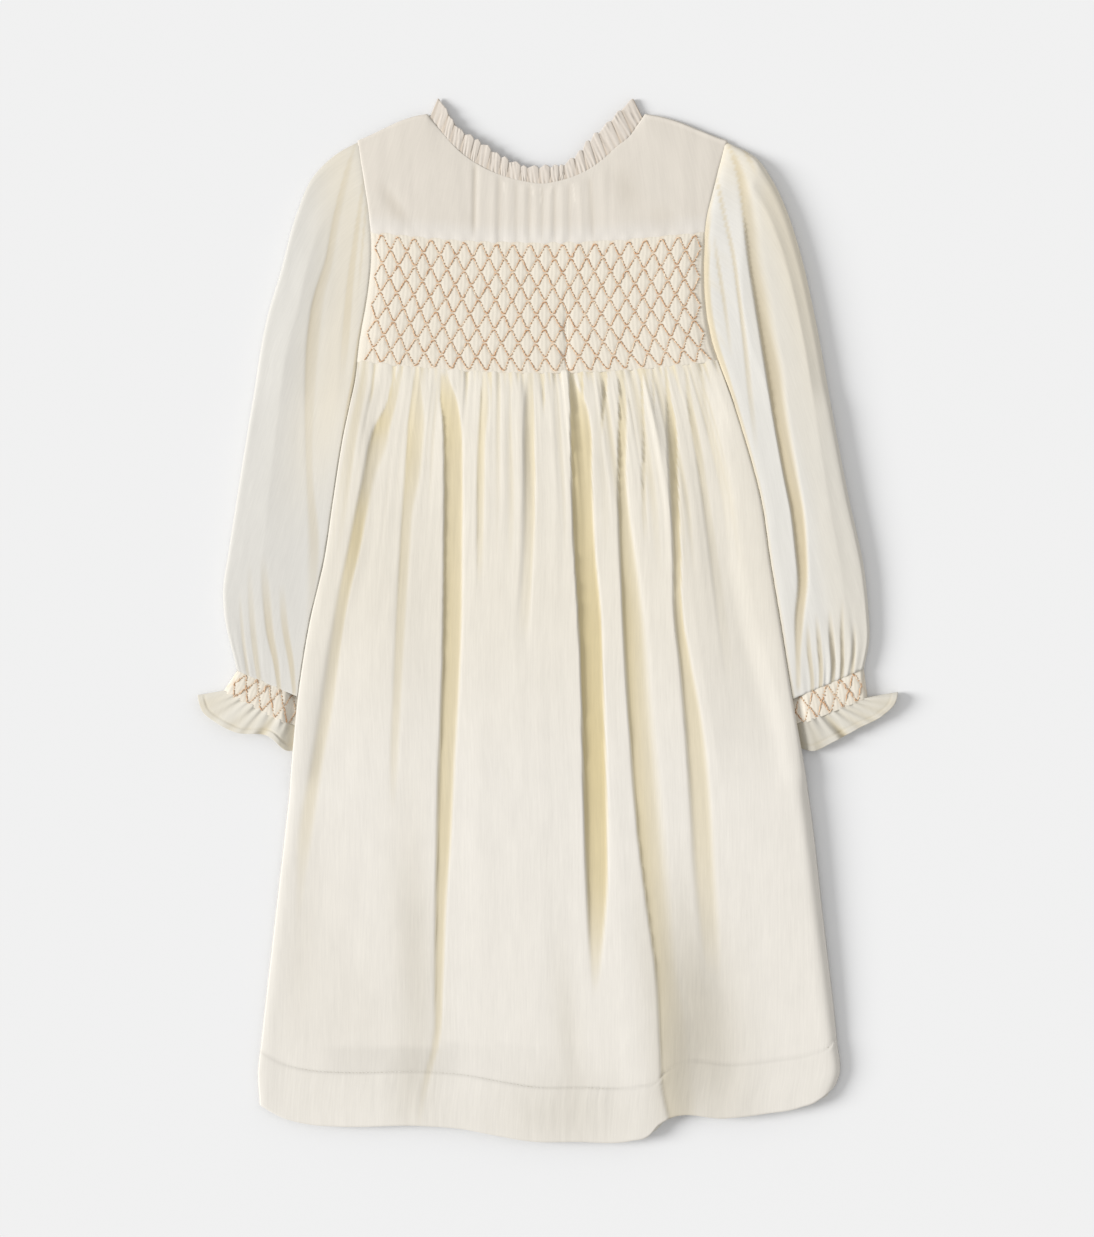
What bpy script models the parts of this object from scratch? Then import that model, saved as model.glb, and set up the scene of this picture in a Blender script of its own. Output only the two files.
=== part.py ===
"""A child's smocked dress, laid flat on its back.

The dress rests on the plane z = 0 with its front up. +Y points to its neck and +X to the
wearer's left. Each panel is a wall of cloth. The back panels lie on the plane, the sleeves
tuck under the sides of the skirt, and the front panels lie on top.
Lengths are millimetres until a mesh is made, and heights are those of a wall's outer face.
"""

import bmesh
import bpy
import numpy as np

METRE = 0.001
MINUS, PLUS = 0, 1

# Cloth, seams and the heights at which the layers lie
CLOTH = 1.2
GAP = 0.3
BACK_TOP = CLOTH
FRONT_LOW = BACK_TOP + GAP + CLOTH + 0.2
SEAM_HEIGHT = 3.8
FOLD_MIDDLE = 1.9
BODY_LOFT = 2.4
BODY_ROUND = 30.0
EDGE_STRIP = 1.5
FOLD_FADE_IN = 12.0
FOLD_FADE_OUT = 90.0

# Sides of the dress: the armhole seams down to UNDERARM, then the skirt's side seams
UNDERARM = 166.6
SIDES = (
    # y, x on the minus side, x on the plus side
    (335.3, -132.7, 125.6),
    (307.0, -128.2, 117.9),
    (279.0, -124.3, 111.2),
    (255.0, -123.4, 109.5),
    (230.0, -125.7, 109.8),
    (195.0, -131.7, 115.1),
    (166.6, -135.2, 124.9),
    (125.0, -143.6, 138.2),
    (83.0, -150.2, 149.4),
    (41.0, -156.5, 155.7),
    (-1.0, -166.3, 162.7),
    (-43.0, -173.3, 169.3),
    (-127.0, -181.7, 183.7),
    (-211.0, -191.2, 193.5),
    (-295.0, -200.6, 202.9),
    (-319.0, -203.1, 204.7),
    (-337.0, -202.0, 197.0),
)

# Neckline and shoulders
NECKLINE = (
    # x, y from the minus shoulder to the plus shoulder
    (-84.0, 354.0),
    (-73.2, 340.9),
    (-62.0, 328.3),
    (-50.8, 319.9),
    (-30.5, 310.5),
    (-18.6, 307.3),
    (-3.2, 305.2),
    (9.4, 307.3),
    (19.2, 310.5),
    (31.8, 317.1),
    (44.4, 327.6),
    (57.0, 338.8),
    (68.0, 354.0),
)
SHOULDER_RISE = 4.0
NECK_CORNER_REACH = 22.0
YOKE_ROUND = 26.0

# Lines where the yoke meets the smocking and the smocking meets the skirt
YOKE_LINE = {"y": 262.5, "rise": 8.0, "middle": -6.0, "half": 118.0}
WAIST_LINE = {"y": 172.9, "rise": 8.0, "middle": -8.0, "half": 122.0}
BACK_WAIST_LINE = {"y": 172.9, "rise": 0.0, "middle": 0.0, "half": 122.0}

# Smocked panel
DIAMONDS_ACROSS = 20
HALF_ROWS = 9
PUFF = 1.7
SMOCK_INSET_TOP = 1.5
SMOCK_INSET_WAIST = 4.5

# Hem of the skirt front
HEM = (
    # x, y
    (-202.0, -340.2),
    (-186.6, -348.6),
    (-165.6, -353.9),
    (-143.9, -355.3),
    (-86.5, -354.6),
    (-58.2, -356.7),
    (-29.8, -361.9),
    (-8.1, -365.4),
    (24.8, -365.8),
    (63.3, -365.1),
    (76.6, -361.2),
    (82.9, -354.2),
    (88.5, -350.7),
    (131.2, -349.3),
    (161.6, -345.8),
    (184.4, -341.6),
    (199.8, -333.9),
    (204.7, -326.9),
)
HEM_DEPTH = 38.0
HEM_STEP = 0.5
HEM_STITCH_WIDTH = 3.0
BACK_HEM_SHORTER = 3.0

# Height of the skirt's cloth above its lowest lie
SKIRT_LOFT = (
    # y, height
    (180.0, 3.3),
    (150.0, 6.5),
    (100.0, 9.0),
    (0.0, 10.5),
    (-150.0, 10.5),
    (-260.0, 8.5),
    (-330.0, 6.0),
    (-370.0, 4.5),
)
SKIRT_ROUND = 22.0
WAIST_GATHERS = 30
GATHER_HEIGHT = 1.3
GATHER_LENGTH = 42.0
GATHER_START = 6.0
SIDE_SEAM_ROUND = 12.0
SIDE_SEAM_FADE = (150.0, 170.0)
LEAST_LOFT = 0.4
LOFT_TAKEN_BY_LIFT = 0.8

# Long folds of the skirt front: troughs that run down it
FOLD_LEVELS = (160.0, 41.0, -78.0, -197.0, -316.0)
SKIRT_FOLDS = (
    # share of the height taken, half width, y of its start, y of its end, x at each fold level
    (0.80, 8.0, 185.0, -230.0, -120.0, -139.0, -157.0, -172.0, -176.0),
    (0.50, 8.0, 185.0, -120.0, -93.0, -98.0, -108.0, -105.0, -105.0),
    (0.85, 9.0, 185.0, -420.0, -71.0, -67.0, -70.0, -75.0, -86.0),
    (0.45, 8.0, 185.0, -60.0, -11.0, -13.0, -15.5, -16.0, -16.0),
    (0.85, 9.0, 185.0, -230.0, 17.0, 26.5, 31.0, 32.5, 32.5),
    (0.90, 8.0, 185.0, -450.0, 51.0, 51.0, 63.0, 76.0, 88.5),
    (0.70, 8.0, 185.0, -240.0, 82.5, 91.0, 101.0, 112.0, 114.0),
    (0.35, 9.0, 185.0, -20.0, 98.0, 113.0, 130.0, 140.0, 145.0),
    (0.40, 6.0, 185.0, 100.0, -108.0, -136.0, -136.0, -136.0, -136.0),
    (0.45, 5.0, 185.0, 110.0, -60.6, -60.0, -60.0, -60.0, -60.0),
    (0.45, 6.0, 185.0, 40.0, -44.0, -46.0, -46.0, -46.0, -46.0),
    (0.50, 6.0, 185.0, 90.0, 25.5, 23.0, 23.0, 23.0, 23.0),
    (0.45, 6.0, 185.0, 50.0, 67.0, 67.5, 67.5, 67.5, 67.5),
)

# Sleeves: outer edges from the shoulder to the cuff, and how far the inner edge is under the skirt
SLEEVE_EDGES = (
    (
        (-134.6, 335.7),
        (-150.2, 326.9),
        (-167.0, 310.1),
        (-178.2, 283.5),
        (-188.7, 242.9),
        (-197.1, 213.5),
        (-207.6, 150.5),
        (-218.1, 84.0),
        (-223.7, 47.6),
        (-227.6, 19.6),
        (-227.2, 7.7),
        (-217.8, -36.0),
    ),
    (
        (127.4, 335.7),
        (150.8, 322.0),
        (159.2, 309.4),
        (169.0, 288.4),
        (176.0, 266.7),
        (189.3, 207.2),
        (199.1, 150.5),
        (210.3, 90.3),
        (222.9, 28.7),
        (225.0, 6.3),
        (225.7, -14.0),
        (221.8, -34.6),
    ),
)
TUCK_UNDER = (
    # y, distance of the sleeve's inner edge inside the skirt's side
    (150.0, -0.6),
    (146.0, -0.6),
    (125.0, 6.0),
    (83.0, 10.0),
    (0.0, 10.0),
    (-35.0, 6.0),
    (-57.0, 3.2),
    (-120.0, 3.2),
)
LIFT_START = (172.0, 149.0)
LIFT_END = (-97.0, -117.0)
LIFT_CLEAR = 2.6
LIFT_RAMP = 16.0
FRONT_LIFT_MARGIN = 2.0
STRIP_HEIGHT = 3.8
SLEEVE_LOFT = (
    # share of the sleeve's length, height of its cloth above the inner strip
    (0.0, 9.5),
    (0.3, 9.0),
    (0.8, 7.5),
    (1.0, 3.4),
)
SLEEVE_ROUND = 22.0
SLEEVE_RAMP = 16.0
HEAD_GATHERS = 6
HEAD_WAVE = 1.5
HEAD_SHARE = 0.15
CUFF_GATHERS = 6
CUFF_WAVE = 1.6
CUFF_START = 0.78
SLEEVE_LEVELS = (328.0, 251.0, 174.0, 97.0, 20.0)
SLEEVE_FOLDS = (
    (
        # share of the height taken, half width, y of its start, y of its end, x at each level
        (0.65, 7.0, 345.0, 10.0, -136.0, -153.0, -170.0, -167.0, -165.0),
        (0.60, 6.0, 300.0, 145.0, -130.0, -135.5, -140.5, -142.0, -142.0),
        (0.35, 5.0, 90.0, -10.0, -211.0, -211.0, -211.0, -211.0, -215.0),
        (0.40, 5.0, 30.0, -60.0, -205.0, -205.0, -205.0, -205.0, -205.0),
        (0.45, 5.0, 30.0, -80.0, -189.0, -189.0, -189.0, -189.0, -188.0),
    ),
    (
        (0.65, 7.0, 345.0, -80.0, 128.0, 144.0, 156.0, 171.0, 176.0),
        (0.60, 6.0, 300.0, 145.0, 122.0, 129.5, 137.0, 141.0, 141.0),
        (0.40, 5.0, 20.0, -80.0, 195.0, 195.0, 195.0, 195.0, 196.0),
        (0.40, 5.0, 20.0, -80.0, 212.0, 212.0, 212.0, 212.0, 212.0),
    ),
)

# Cuffs: corners of each smocked band, and the free edge of each frill
CUFF_TOP = (
    ((-217.8, -36.4), (-171.9, -56.0)),
    ((221.8, -35.0), (168.6, -57.5)),
)
CUFF_FOOT = (
    ((-226.9, -50.1), (-174.2, -77.3)),
    ((224.3, -54.6), (171.9, -75.4)),
)
CUFF_LOFT = 3.4
CUFF_ROUND = 9.0
PUFF_CLEAR_OF_SKIRT = 6.0
CUFF_DIAMONDS = 5
CUFF_PUFF = 0.9
FRILL_EDGES = (
    (
        (-245.4, -53.2),
        (-241.2, -65.1),
        (-231.4, -72.8),
        (-218.8, -79.1),
        (-195.7, -81.9),
        (-181.0, -92.4),
        (-174.9, -91.2),
    ),
    (
        (245.6, -51.1),
        (243.2, -58.8),
        (234.1, -67.9),
        (219.4, -75.6),
        (199.8, -86.1),
        (185.1, -92.4),
        (173.6, -89.0),
    ),
)
FRILL_WAVES = 4
FRILL_HEIGHT = 4.5

# Frill round the neck
NECK_FRILL_EDGE = (
    (-76.7, 365.7),
    (-68.0, 352.0),
    (-64.0, 345.8),
    (-56.4, 338.8),
    (-42.4, 330.4),
    (-24.9, 319.2),
    (-7.4, 316.1),
    (8.7, 317.1),
    (22.0, 326.2),
    (29.0, 333.9),
    (45.1, 350.0),
    (59.8, 365.4),
)
NECK_WAVES = 30
NECK_WAVE_HEIGHT = 2.0
NECK_SEAM_HEIGHT = 5.4
NECK_SEAM_ENDS = ((-82.4, 352.2), (66.4, 352.0))
NECK_END_SHARE = 0.12
NECK_FOLD_MIDDLE = 1.6
SEAM_WAVE_SHARE = 0.2

# Opening in the back
BACK_SLIT = {"x": -3.6, "width": 0.8, "length": 115.0}
BUTTON = {"x": 3.4, "y": 293.0, "radius": 5.0, "thickness": 1.5}
BUTTON_LIFT = {"height": 1.8, "full": 6.5, "end": 13.0}


def ease(share):
    """Goes smoothly from 0 to 1 while share goes from 0 to 1."""
    share = np.clip(share, 0.0, 1.0)
    return share * share * (3.0 - 2.0 * share)


def round_edge(distance, radius):
    """Quarter circle: 0 at the edge, 1 from radius inwards."""
    share = np.clip(1.0 - distance / radius, 0.0, 1.0)
    return np.sqrt(1.0 - share * share)


def smooth_line(at, places, values):
    """Cubic pieces through the table's values, with the table's own slopes, flat past its ends."""
    places = np.asarray(places, float)
    values = np.asarray(values, float)
    if places[0] > places[-1]:
        places = places[::-1]
        values = values[::-1]
    slopes = np.gradient(values, places)
    cell = np.clip(np.searchsorted(places, at) - 1, 0, len(places) - 2)
    width = places[cell + 1] - places[cell]
    t = np.clip((at - places[cell]) / width, 0.0, 1.0)
    start = (2 * t ** 3 - 3 * t ** 2 + 1) * values[cell]
    start_slope = (t ** 3 - 2 * t ** 2 + t) * width * slopes[cell]
    end = (3 * t ** 2 - 2 * t ** 3) * values[cell + 1]
    end_slope = (t ** 3 - t ** 2) * width * slopes[cell + 1]
    return start + start_slope + end + end_slope


def smooth_path(corners, shares):
    """Points at shares of the length of a smooth curve through the corners."""
    corners = np.asarray(corners, float)
    steps = np.hypot(*np.diff(corners, axis=0).T)
    chord = np.concatenate([[0.0], np.cumsum(steps)]) / steps.sum()
    fine = np.linspace(0.0, 1.0, 600)
    x = smooth_line(fine, chord, corners[:, 0])
    y = smooth_line(fine, chord, corners[:, 1])
    length = np.concatenate([[0.0], np.cumsum(np.hypot(np.diff(x), np.diff(y)))])
    return np.stack([np.interp(shares, length / length[-1], part) for part in (x, y)], axis=-1)


def column(table, index):
    """One column of a table."""
    return [row[index] for row in table]


def side_x(y, side):
    """x of the dress's side at height y."""
    return smooth_line(y, column(SIDES, 0), column(SIDES, 1 + side))


def side_distance(x, y):
    """Distance inwards from the nearer side."""
    return np.minimum(x - side_x(y, MINUS), side_x(y, PLUS) - x)


def outside_distance(x, y, side):
    """Distance outwards from one side."""
    beyond = x - side_x(y, side)
    return beyond if side == PLUS else -beyond


def cross_line(x, line):
    """y of a seam across the body, which rises to both sides."""
    return line["y"] + line["rise"] * ((x - line["middle"]) / line["half"]) ** 2


def hem_y(x):
    """y of the front hem."""
    return smooth_line(x, column(HEM, 0), column(HEM, 1))


def tuck(y):
    """How far the sleeve's inner edge lies inside the skirt's side."""
    return smooth_line(y, column(TUCK_UNDER, 0), column(TUCK_UNDER, 1))


def lift(x, y, margin=0.0):
    """Height of the skirt's underside, which rides over each sleeve's inner strip."""
    along = ease((LIFT_START[0] - y) / (LIFT_START[0] - LIFT_START[1]))
    along = along * ease((y + 4 * margin - LIFT_END[1]) / (LIFT_END[0] - LIFT_END[1]))
    reach = np.maximum(tuck(y), 0.0) + LIFT_CLEAR + LIFT_RAMP + margin
    across = ease((reach - side_distance(x, y)) / LIFT_RAMP)
    return (STRIP_HEIGHT + GAP) * along * across


def fold_factor(x, y, folds, levels):
    """Product of the folds' troughs: 1 between them, less in each."""
    factor = np.ones_like(x)
    for share, half_width, y_start, y_end, *places in folds:
        middle = smooth_line(y, levels, places)
        fade = ease((y_start - y) / FOLD_FADE_IN) * ease((y - y_end) / FOLD_FADE_OUT)
        factor = factor * (1.0 - share * fade * np.exp(-(((x - middle) / half_width) ** 2)))
    return factor


def body_height(x, y):
    """Outer height of the yoke and the smocked panel."""
    return SEAM_HEIGHT + BODY_LOFT * round_edge(side_distance(x, y), BODY_ROUND)


def skirt_height(x, y, u):
    """Outer height of the skirt front: lie, loft, folds, waist gathers and the turned hem."""
    below_waist = cross_line(x, WAIST_LINE) - y
    distance = side_distance(x, y)
    loft = smooth_line(y, column(SKIRT_LOFT, 0), column(SKIRT_LOFT, 1))
    loft = loft * fold_factor(x, y, SKIRT_FOLDS, FOLD_LEVELS)
    gather = ease(1.0 - below_waist / GATHER_LENGTH) * ease(below_waist / GATHER_START)
    loft = loft + GATHER_HEIGHT * gather * np.sin(2 * np.pi * WAIST_GATHERS * u)
    under = lift(x, y, FRONT_LIFT_MARGIN)
    loft = np.maximum(loft - LOFT_TAKEN_BY_LIFT * under, LEAST_LOFT)
    seam = ease((y - SIDE_SEAM_FADE[0]) / (SIDE_SEAM_FADE[1] - SIDE_SEAM_FADE[0]))
    seam = (SEAM_HEIGHT - FRONT_LOW) * seam * (1 - round_edge(distance, SIDE_SEAM_ROUND))
    hem = HEM_STEP * ease((HEM_DEPTH - (y - hem_y(x))) / HEM_STITCH_WIDTH)
    return FRONT_LOW + under + seam + loft * round_edge(distance, SKIRT_ROUND) + hem


def strips(upper, lower):
    """Faces between two rows of a sheet; the upper row may have twice as many cells as the lower."""
    if len(upper) == len(lower):
        return [
            (upper[i], lower[i], lower[i + 1], upper[i + 1]) for i in range(len(upper) - 1)
        ]
    faces = []
    for i in range(len(lower) - 1):
        faces.append((upper[2 * i], lower[i], upper[2 * i + 1]))
        faces.append((upper[2 * i + 1], lower[i], lower[i + 1]))
        faces.append((upper[2 * i + 1], lower[i + 1], upper[2 * i + 2]))
    return faces


def sheet(name, rows, material, wrap=False, face_down=False):
    """Open sheet through rows of points, which Solidify makes a wall that grows inwards."""
    counts = np.cumsum([0] + [len(row) for row in rows])
    indices = [list(range(counts[i], counts[i + 1])) for i in range(len(rows))]
    if wrap:
        indices = [row + row[:1] for row in indices]
    faces = []
    for upper, lower in zip(indices[:-1], indices[1:]):
        faces.extend(strips(upper, lower))
    if face_down:
        faces = [face[::-1] for face in faces]
    mesh = bpy.data.meshes.new(name)
    mesh.from_pydata((np.concatenate(rows) * METRE).tolist(), [], faces)
    piece = add_piece(name, mesh, material)
    wall = piece.modifiers.new("wall", "SOLIDIFY")
    wall.thickness = CLOTH * METRE
    wall.offset = -1.0
    return piece


def relief_wall(name, outer, inner, material, wrap=False, flip=False):
    """Closed wall between a raised outer grid and a plain inner grid of the same size."""
    count_rows, count_columns = outer.shape[:2]
    size = count_rows * count_columns
    span = count_columns if wrap else count_columns - 1

    def vertex(row, col, layer):
        return layer * size + row * count_columns + col % count_columns

    faces = []
    for row in range(count_rows - 1):
        for col in range(span):
            for layer in (0, 1):
                a = vertex(row, col, layer)
                b = vertex(row + 1, col, layer)
                c = vertex(row + 1, col + 1, layer)
                d = vertex(row, col + 1, layer)
                halves = [(a, b, c), (a, c, d)] if (row + col) % 2 else [(a, b, d), (b, c, d)]
                faces.extend(half[::-1] if layer else half for half in halves)
    for col in range(span):
        for row, turn in ((0, 1), (count_rows - 1, -1)):
            ends = ((row, col), (row, col + 1))
            rim = [vertex(*ends[0], 0), vertex(*ends[1], 0), vertex(*ends[1], 1), vertex(*ends[0], 1)]
            faces.append(rim[::turn])
    for row in range(0 if wrap else count_rows - 1):
        for col, turn in ((0, -1), (count_columns - 1, 1)):
            ends = ((row, col), (row + 1, col))
            rim = [vertex(*ends[0], 0), vertex(*ends[1], 0), vertex(*ends[1], 1), vertex(*ends[0], 1)]
            faces.append(rim[::turn])
    if flip:
        faces = [face[::-1] for face in faces]
    points = np.concatenate([outer.reshape(-1, 3), inner.reshape(-1, 3)]) * METRE
    mesh = bpy.data.meshes.new(name)
    mesh.from_pydata(points.tolist(), [], faces)
    return add_piece(name, mesh, material)


def add_piece(name, mesh, material):
    """Puts a mesh in the dress's collection with its material."""
    piece = bpy.data.objects.new(name, mesh)
    mesh.materials.append(material)
    mesh.shade_smooth()
    dress.objects.link(piece)
    return piece


def cloth_material(name, colour, roughness=0.85):
    """Principled material of one piece."""
    material = bpy.data.materials.new(name)
    material.use_nodes = True
    shader = material.node_tree.nodes["Principled BSDF"]
    shader.inputs["Base Color"].default_value = (*colour, 1.0)
    shader.inputs["Roughness"].default_value = roughness
    shader.inputs["Metallic"].default_value = 0.0
    return material


def body_columns(neck_count, shoulder_count):
    """Top edge of the bodice: shoulder, neckline and shoulder, as points from minus to plus."""
    shoulders = []
    for corner, end in ((0, SIDES[0][1]), (-1, SIDES[0][2])):
        share = np.linspace(0.0, 1.0, shoulder_count + 1)[:-1]
        x = end + (NECKLINE[corner][0] - end) * share
        chord = SIDES[0][0] + (NECKLINE[corner][1] - SIDES[0][0]) * share
        y = chord + SHOULDER_RISE * np.sin(np.pi * share) * share
        shoulders.append(np.stack([x, y], axis=-1))
    neck = smooth_path(NECKLINE, np.linspace(0.0, 1.0, neck_count))
    return np.concatenate([shoulders[0], neck, shoulders[1][::-1]])


def body_grid(top, shares, bottom_line, drop=0.0):
    """Rows from the bodice's top edge down to a line across the body."""
    across = (top[:, 0] - SIDES[0][1]) / (SIDES[0][2] - SIDES[0][1])
    foot_x = side_x(bottom_line["y"], MINUS) * (1 - across) + side_x(bottom_line["y"], PLUS) * across
    foot_y = cross_line(foot_x, bottom_line) + drop
    top_y = top[:, 1]
    start = side_x(top_y, MINUS) * (1 - across) + side_x(top_y, PLUS) * across
    rows = []
    for share in shares:
        y = top_y + (foot_y - top_y) * share
        x = side_x(y, MINUS) * (1 - across) + side_x(y, PLUS) * across
        x = x + (top[:, 0] - start) * (1 - share) ** 2
        rows.append(np.stack([x, y], axis=-1))
    return np.stack(rows)


def inset_sides(x, y, amount):
    """Moves points in from both sides so that the side edges clear the sleeves' seams."""
    low = side_x(y, MINUS)
    high = side_x(y, PLUS)
    middle = (low + high) / 2
    return middle + (x - middle) * (1 - 2 * amount / (high - low))


def make_front_yoke(material):
    """Plain cloth from the shoulders and the neck seam to the smocking."""
    top = body_columns(21, 4)
    grid = body_grid(top, (0.0, 0.08, 0.2, 0.4, 0.7, 1.0), YOKE_LINE, drop=GAP)
    x = inset_sides(grid[..., 0], grid[..., 1], GAP)
    y = grid[..., 1] - GAP * (1 - np.linspace(0, 1, len(grid)))[:, None]
    from_top = top[:, 1] - y
    from_corner = np.minimum(top[:, 0] - NECKLINE[0][0], NECKLINE[-1][0] - top[:, 0])
    inside_neck = ease(from_corner / NECK_CORNER_REACH)
    top_height = FRONT_LOW + (NECK_SEAM_HEIGHT - FRONT_LOW) * inside_neck
    z = top_height + (body_height(x, y) - top_height) * round_edge(from_top, YOKE_ROUND)
    return sheet("front_yoke", list(np.stack([x, y, z], axis=-1)), material)


def make_smocked_panel(material):
    """Pleated cloth whose outer face puffs up in each diamond of the stitched lattice."""
    count = 2 * DIAMONDS_ACROSS + 1
    share_down = np.arange(HALF_ROWS + 1) / HALF_ROWS
    rows = []
    for down in share_down:
        level = YOKE_LINE["y"] + YOKE_LINE["rise"]
        level += (WAIST_LINE["y"] + WAIST_LINE["rise"] - level) * down
        low = side_x(level, MINUS)
        high = side_x(level, PLUS)
        inset = SMOCK_INSET_TOP + (SMOCK_INSET_WAIST - SMOCK_INSET_TOP) * down
        x = np.linspace(low + inset, high - inset, count)
        x = np.concatenate([[low + GAP], x, [high - GAP]])
        upper = cross_line(x, YOKE_LINE) - GAP / 2
        lower = cross_line(x, WAIST_LINE) + GAP / 2
        rows.append(np.stack([x, upper + (lower - upper) * down], axis=-1))
    grid = np.stack(rows)
    x = grid[..., 0]
    y = grid[..., 1]
    plain = body_height(x, y)
    row, col = np.indices(x.shape)
    peak = (row + col) % 2 == 1
    peak = peak & (col > 1) & (col < count) & (row > 0) & (row < HALF_ROWS)
    outer = np.stack([x, y, plain + PUFF * peak], axis=-1)
    inner = np.stack([x, y, plain - CLOTH], axis=-1)
    return relief_wall("smocked_panel", outer, inner, material)


def make_skirt_front(material):
    """Gathered skirt front: fine columns in the gathers below the waist, then half as many."""
    fine = np.linspace(0.0, 1.0, 4 * WAIST_GATHERS + 1)
    coarse = fine[::2]
    gathered = (0.0, 0.03, 0.07)
    long_rows = (0.12, 0.19, 0.27, 0.36, 0.45, 0.535, 0.57, 0.615, 0.7, 0.78, 0.86, 0.918, 0.925, 1.0)
    waist_side = WAIST_LINE["y"] + WAIST_LINE["rise"]
    rows = []
    for down in gathered + long_rows:
        u = fine if down in gathered else coarse
        top_x = side_x(waist_side, MINUS) * (1 - u) + side_x(waist_side, PLUS) * u
        top_y = cross_line(top_x, WAIST_LINE) - GAP
        foot_y = hem_y(HEM[0][0] * (1 - u) + HEM[-1][0] * u)
        y = top_y + (foot_y - top_y) * down
        x = side_x(y, MINUS) * (1 - u) + side_x(y, PLUS) * u
        x = inset_sides(x, y, GAP * ease((y - SIDE_SEAM_FADE[0]) / (UNDERARM - SIDE_SEAM_FADE[0])))
        rows.append(np.stack([x, y, skirt_height(x, y, u)], axis=-1))
    return sheet("skirt_front", rows, material)


def make_back_bodice(material):
    """Flat back from shoulders to waist; it rides over the button and is slit down from the neck."""
    near_button = np.arange(-15.0, 15.1, 3.75) + BUTTON["x"]
    minus_part = np.linspace(NECKLINE[0][0], -20.0, 7)
    plus_part = np.linspace(26.0, NECKLINE[-1][0], 5)
    neck_x = np.concatenate([minus_part, near_button, plus_part])
    neck = np.stack([neck_x, smooth_line(neck_x, column(NECKLINE, 0), column(NECKLINE, 1))], axis=-1)
    shoulders = body_columns(3, 3)
    top = np.concatenate([shoulders[:3], neck, shoulders[-3:]])
    shares = (0.0, 0.035, 0.07, 0.105, 0.14, 0.18, 0.3, 0.43, 0.56, 0.7, 0.85, 1.0)
    grid = body_grid(top, shares, BACK_WAIST_LINE, drop=GAP)
    x = inset_sides(grid[..., 0], grid[..., 1], 1.6 * GAP)
    y = grid[..., 1] - GAP * (1 - np.linspace(0, 1, len(grid)))[:, None]
    reach = np.hypot(x - BUTTON["x"], y - BUTTON["y"])
    ramp = BUTTON_LIFT["end"] - BUTTON_LIFT["full"]
    rise = BUTTON_LIFT["height"] * ease((BUTTON_LIFT["end"] - reach) / ramp)
    piece = sheet("back_bodice", list(np.stack([x, y, rise], axis=-1)), material, face_down=True)
    cut = piece.modifiers.new("slit", "BOOLEAN")
    cut.operation = "DIFFERENCE"
    cut.object = make_slit_cutter()
    return piece


def make_slit_cutter():
    """Thin box along the slit in the back, longer than it at the neck."""
    past_neck = 12.0
    height = 12.0
    neck_y = NECKLINE[6][1]
    mesh = bpy.data.meshes.new("slit_cutter")
    shape = bmesh.new()
    bmesh.ops.create_cube(shape, size=1.0)
    size = np.array([BACK_SLIT["width"], BACK_SLIT["length"] + past_neck, height]) * METRE
    place = np.array([BACK_SLIT["x"], neck_y + (past_neck - BACK_SLIT["length"]) / 2, 0.0]) * METRE
    bmesh.ops.scale(shape, vec=size, verts=shape.verts)
    bmesh.ops.translate(shape, vec=place, verts=shape.verts)
    shape.to_mesh(mesh)
    shape.free()
    cutter = bpy.data.objects.new("slit_cutter", mesh)
    cutter.hide_render = True
    cutter.display_type = "WIRE"
    cutters.objects.link(cutter)
    return cutter


def make_skirt_back(material):
    """Flat skirt back whose sides ride over the sleeves' inner strips."""
    insets = np.array([0.0, 6.0, 12.0, 18.0, 29.0, 100.0])
    hem_side = HEM[0][1]
    lift_starts = (166.0, 157.0, 148.0)
    lift_ends = (-97.0, -104.0, -111.0, -118.0)
    levels = (BACK_WAIST_LINE["y"] - GAP, *lift_starts, 120.0, 60.0, 0.0, -45.0, *lift_ends, -230.0, hem_side)
    rows = []
    for level in levels:
        x = np.concatenate([side_x(level, MINUS) + insets, (side_x(level, PLUS) - insets)[::-1]])
        y = np.full_like(x, level)
        if level == hem_side:
            y = hem_y(x) + BACK_HEM_SHORTER
        x = inset_sides(x, y, GAP)
        rows.append(np.stack([x, y, lift(x, y)], axis=-1))
    return sheet("skirt_back", rows, material, face_down=True)


def flat_tube(lines, top_shares, under_shares, top_height):
    """Rings of a flattened tube: over the top from its outer fold to its inner one, and back below.

    lines gives each ring's points at shares of its width, and top_height the outer height there.
    """
    rings = []
    for index, line in enumerate(lines):
        over = line(top_shares)
        under = line(under_shares)
        z = top_height(index, over, top_shares)
        z[0] = FOLD_MIDDLE
        z[-1] = FOLD_MIDDLE
        over = np.column_stack([over, z])
        under = np.column_stack([under, np.zeros(len(under))])
        rings.append(np.concatenate([over, under]))
    return rings


def sleeve_lines(side, steps):
    """Lines across a sleeve, which turn from the armhole seam to the cuff."""
    outer = smooth_path(SLEEVE_EDGES[side], steps)
    inward = 1.0 if side == MINUS else -1.0
    inner_y = UNDERARM + (CUFF_TOP[side][1][1] + GAP - UNDERARM) * steps
    inner_x = side_x(inner_y, side) + inward * tuck(inner_y)
    inner = np.stack([inner_x, inner_y], axis=-1)
    lines = []
    for step, start, end in zip(steps, outer, inner):
        def line(shares, step=step, start=start, end=end):
            shares = shares[:, None]
            straight = start + (end - start) * shares
            seam_y = (SIDES[0][0] + (UNDERARM - SIDES[0][0]) * shares)[:, 0]
            seam = np.stack([side_x(seam_y, side) - inward * GAP, seam_y], axis=-1)
            chord = outer[0] + (inner[0] - outer[0]) * shares
            return straight + (seam - chord) * (1 - step) ** 3
        lines.append(line)
    return lines, outer, inner


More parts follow.
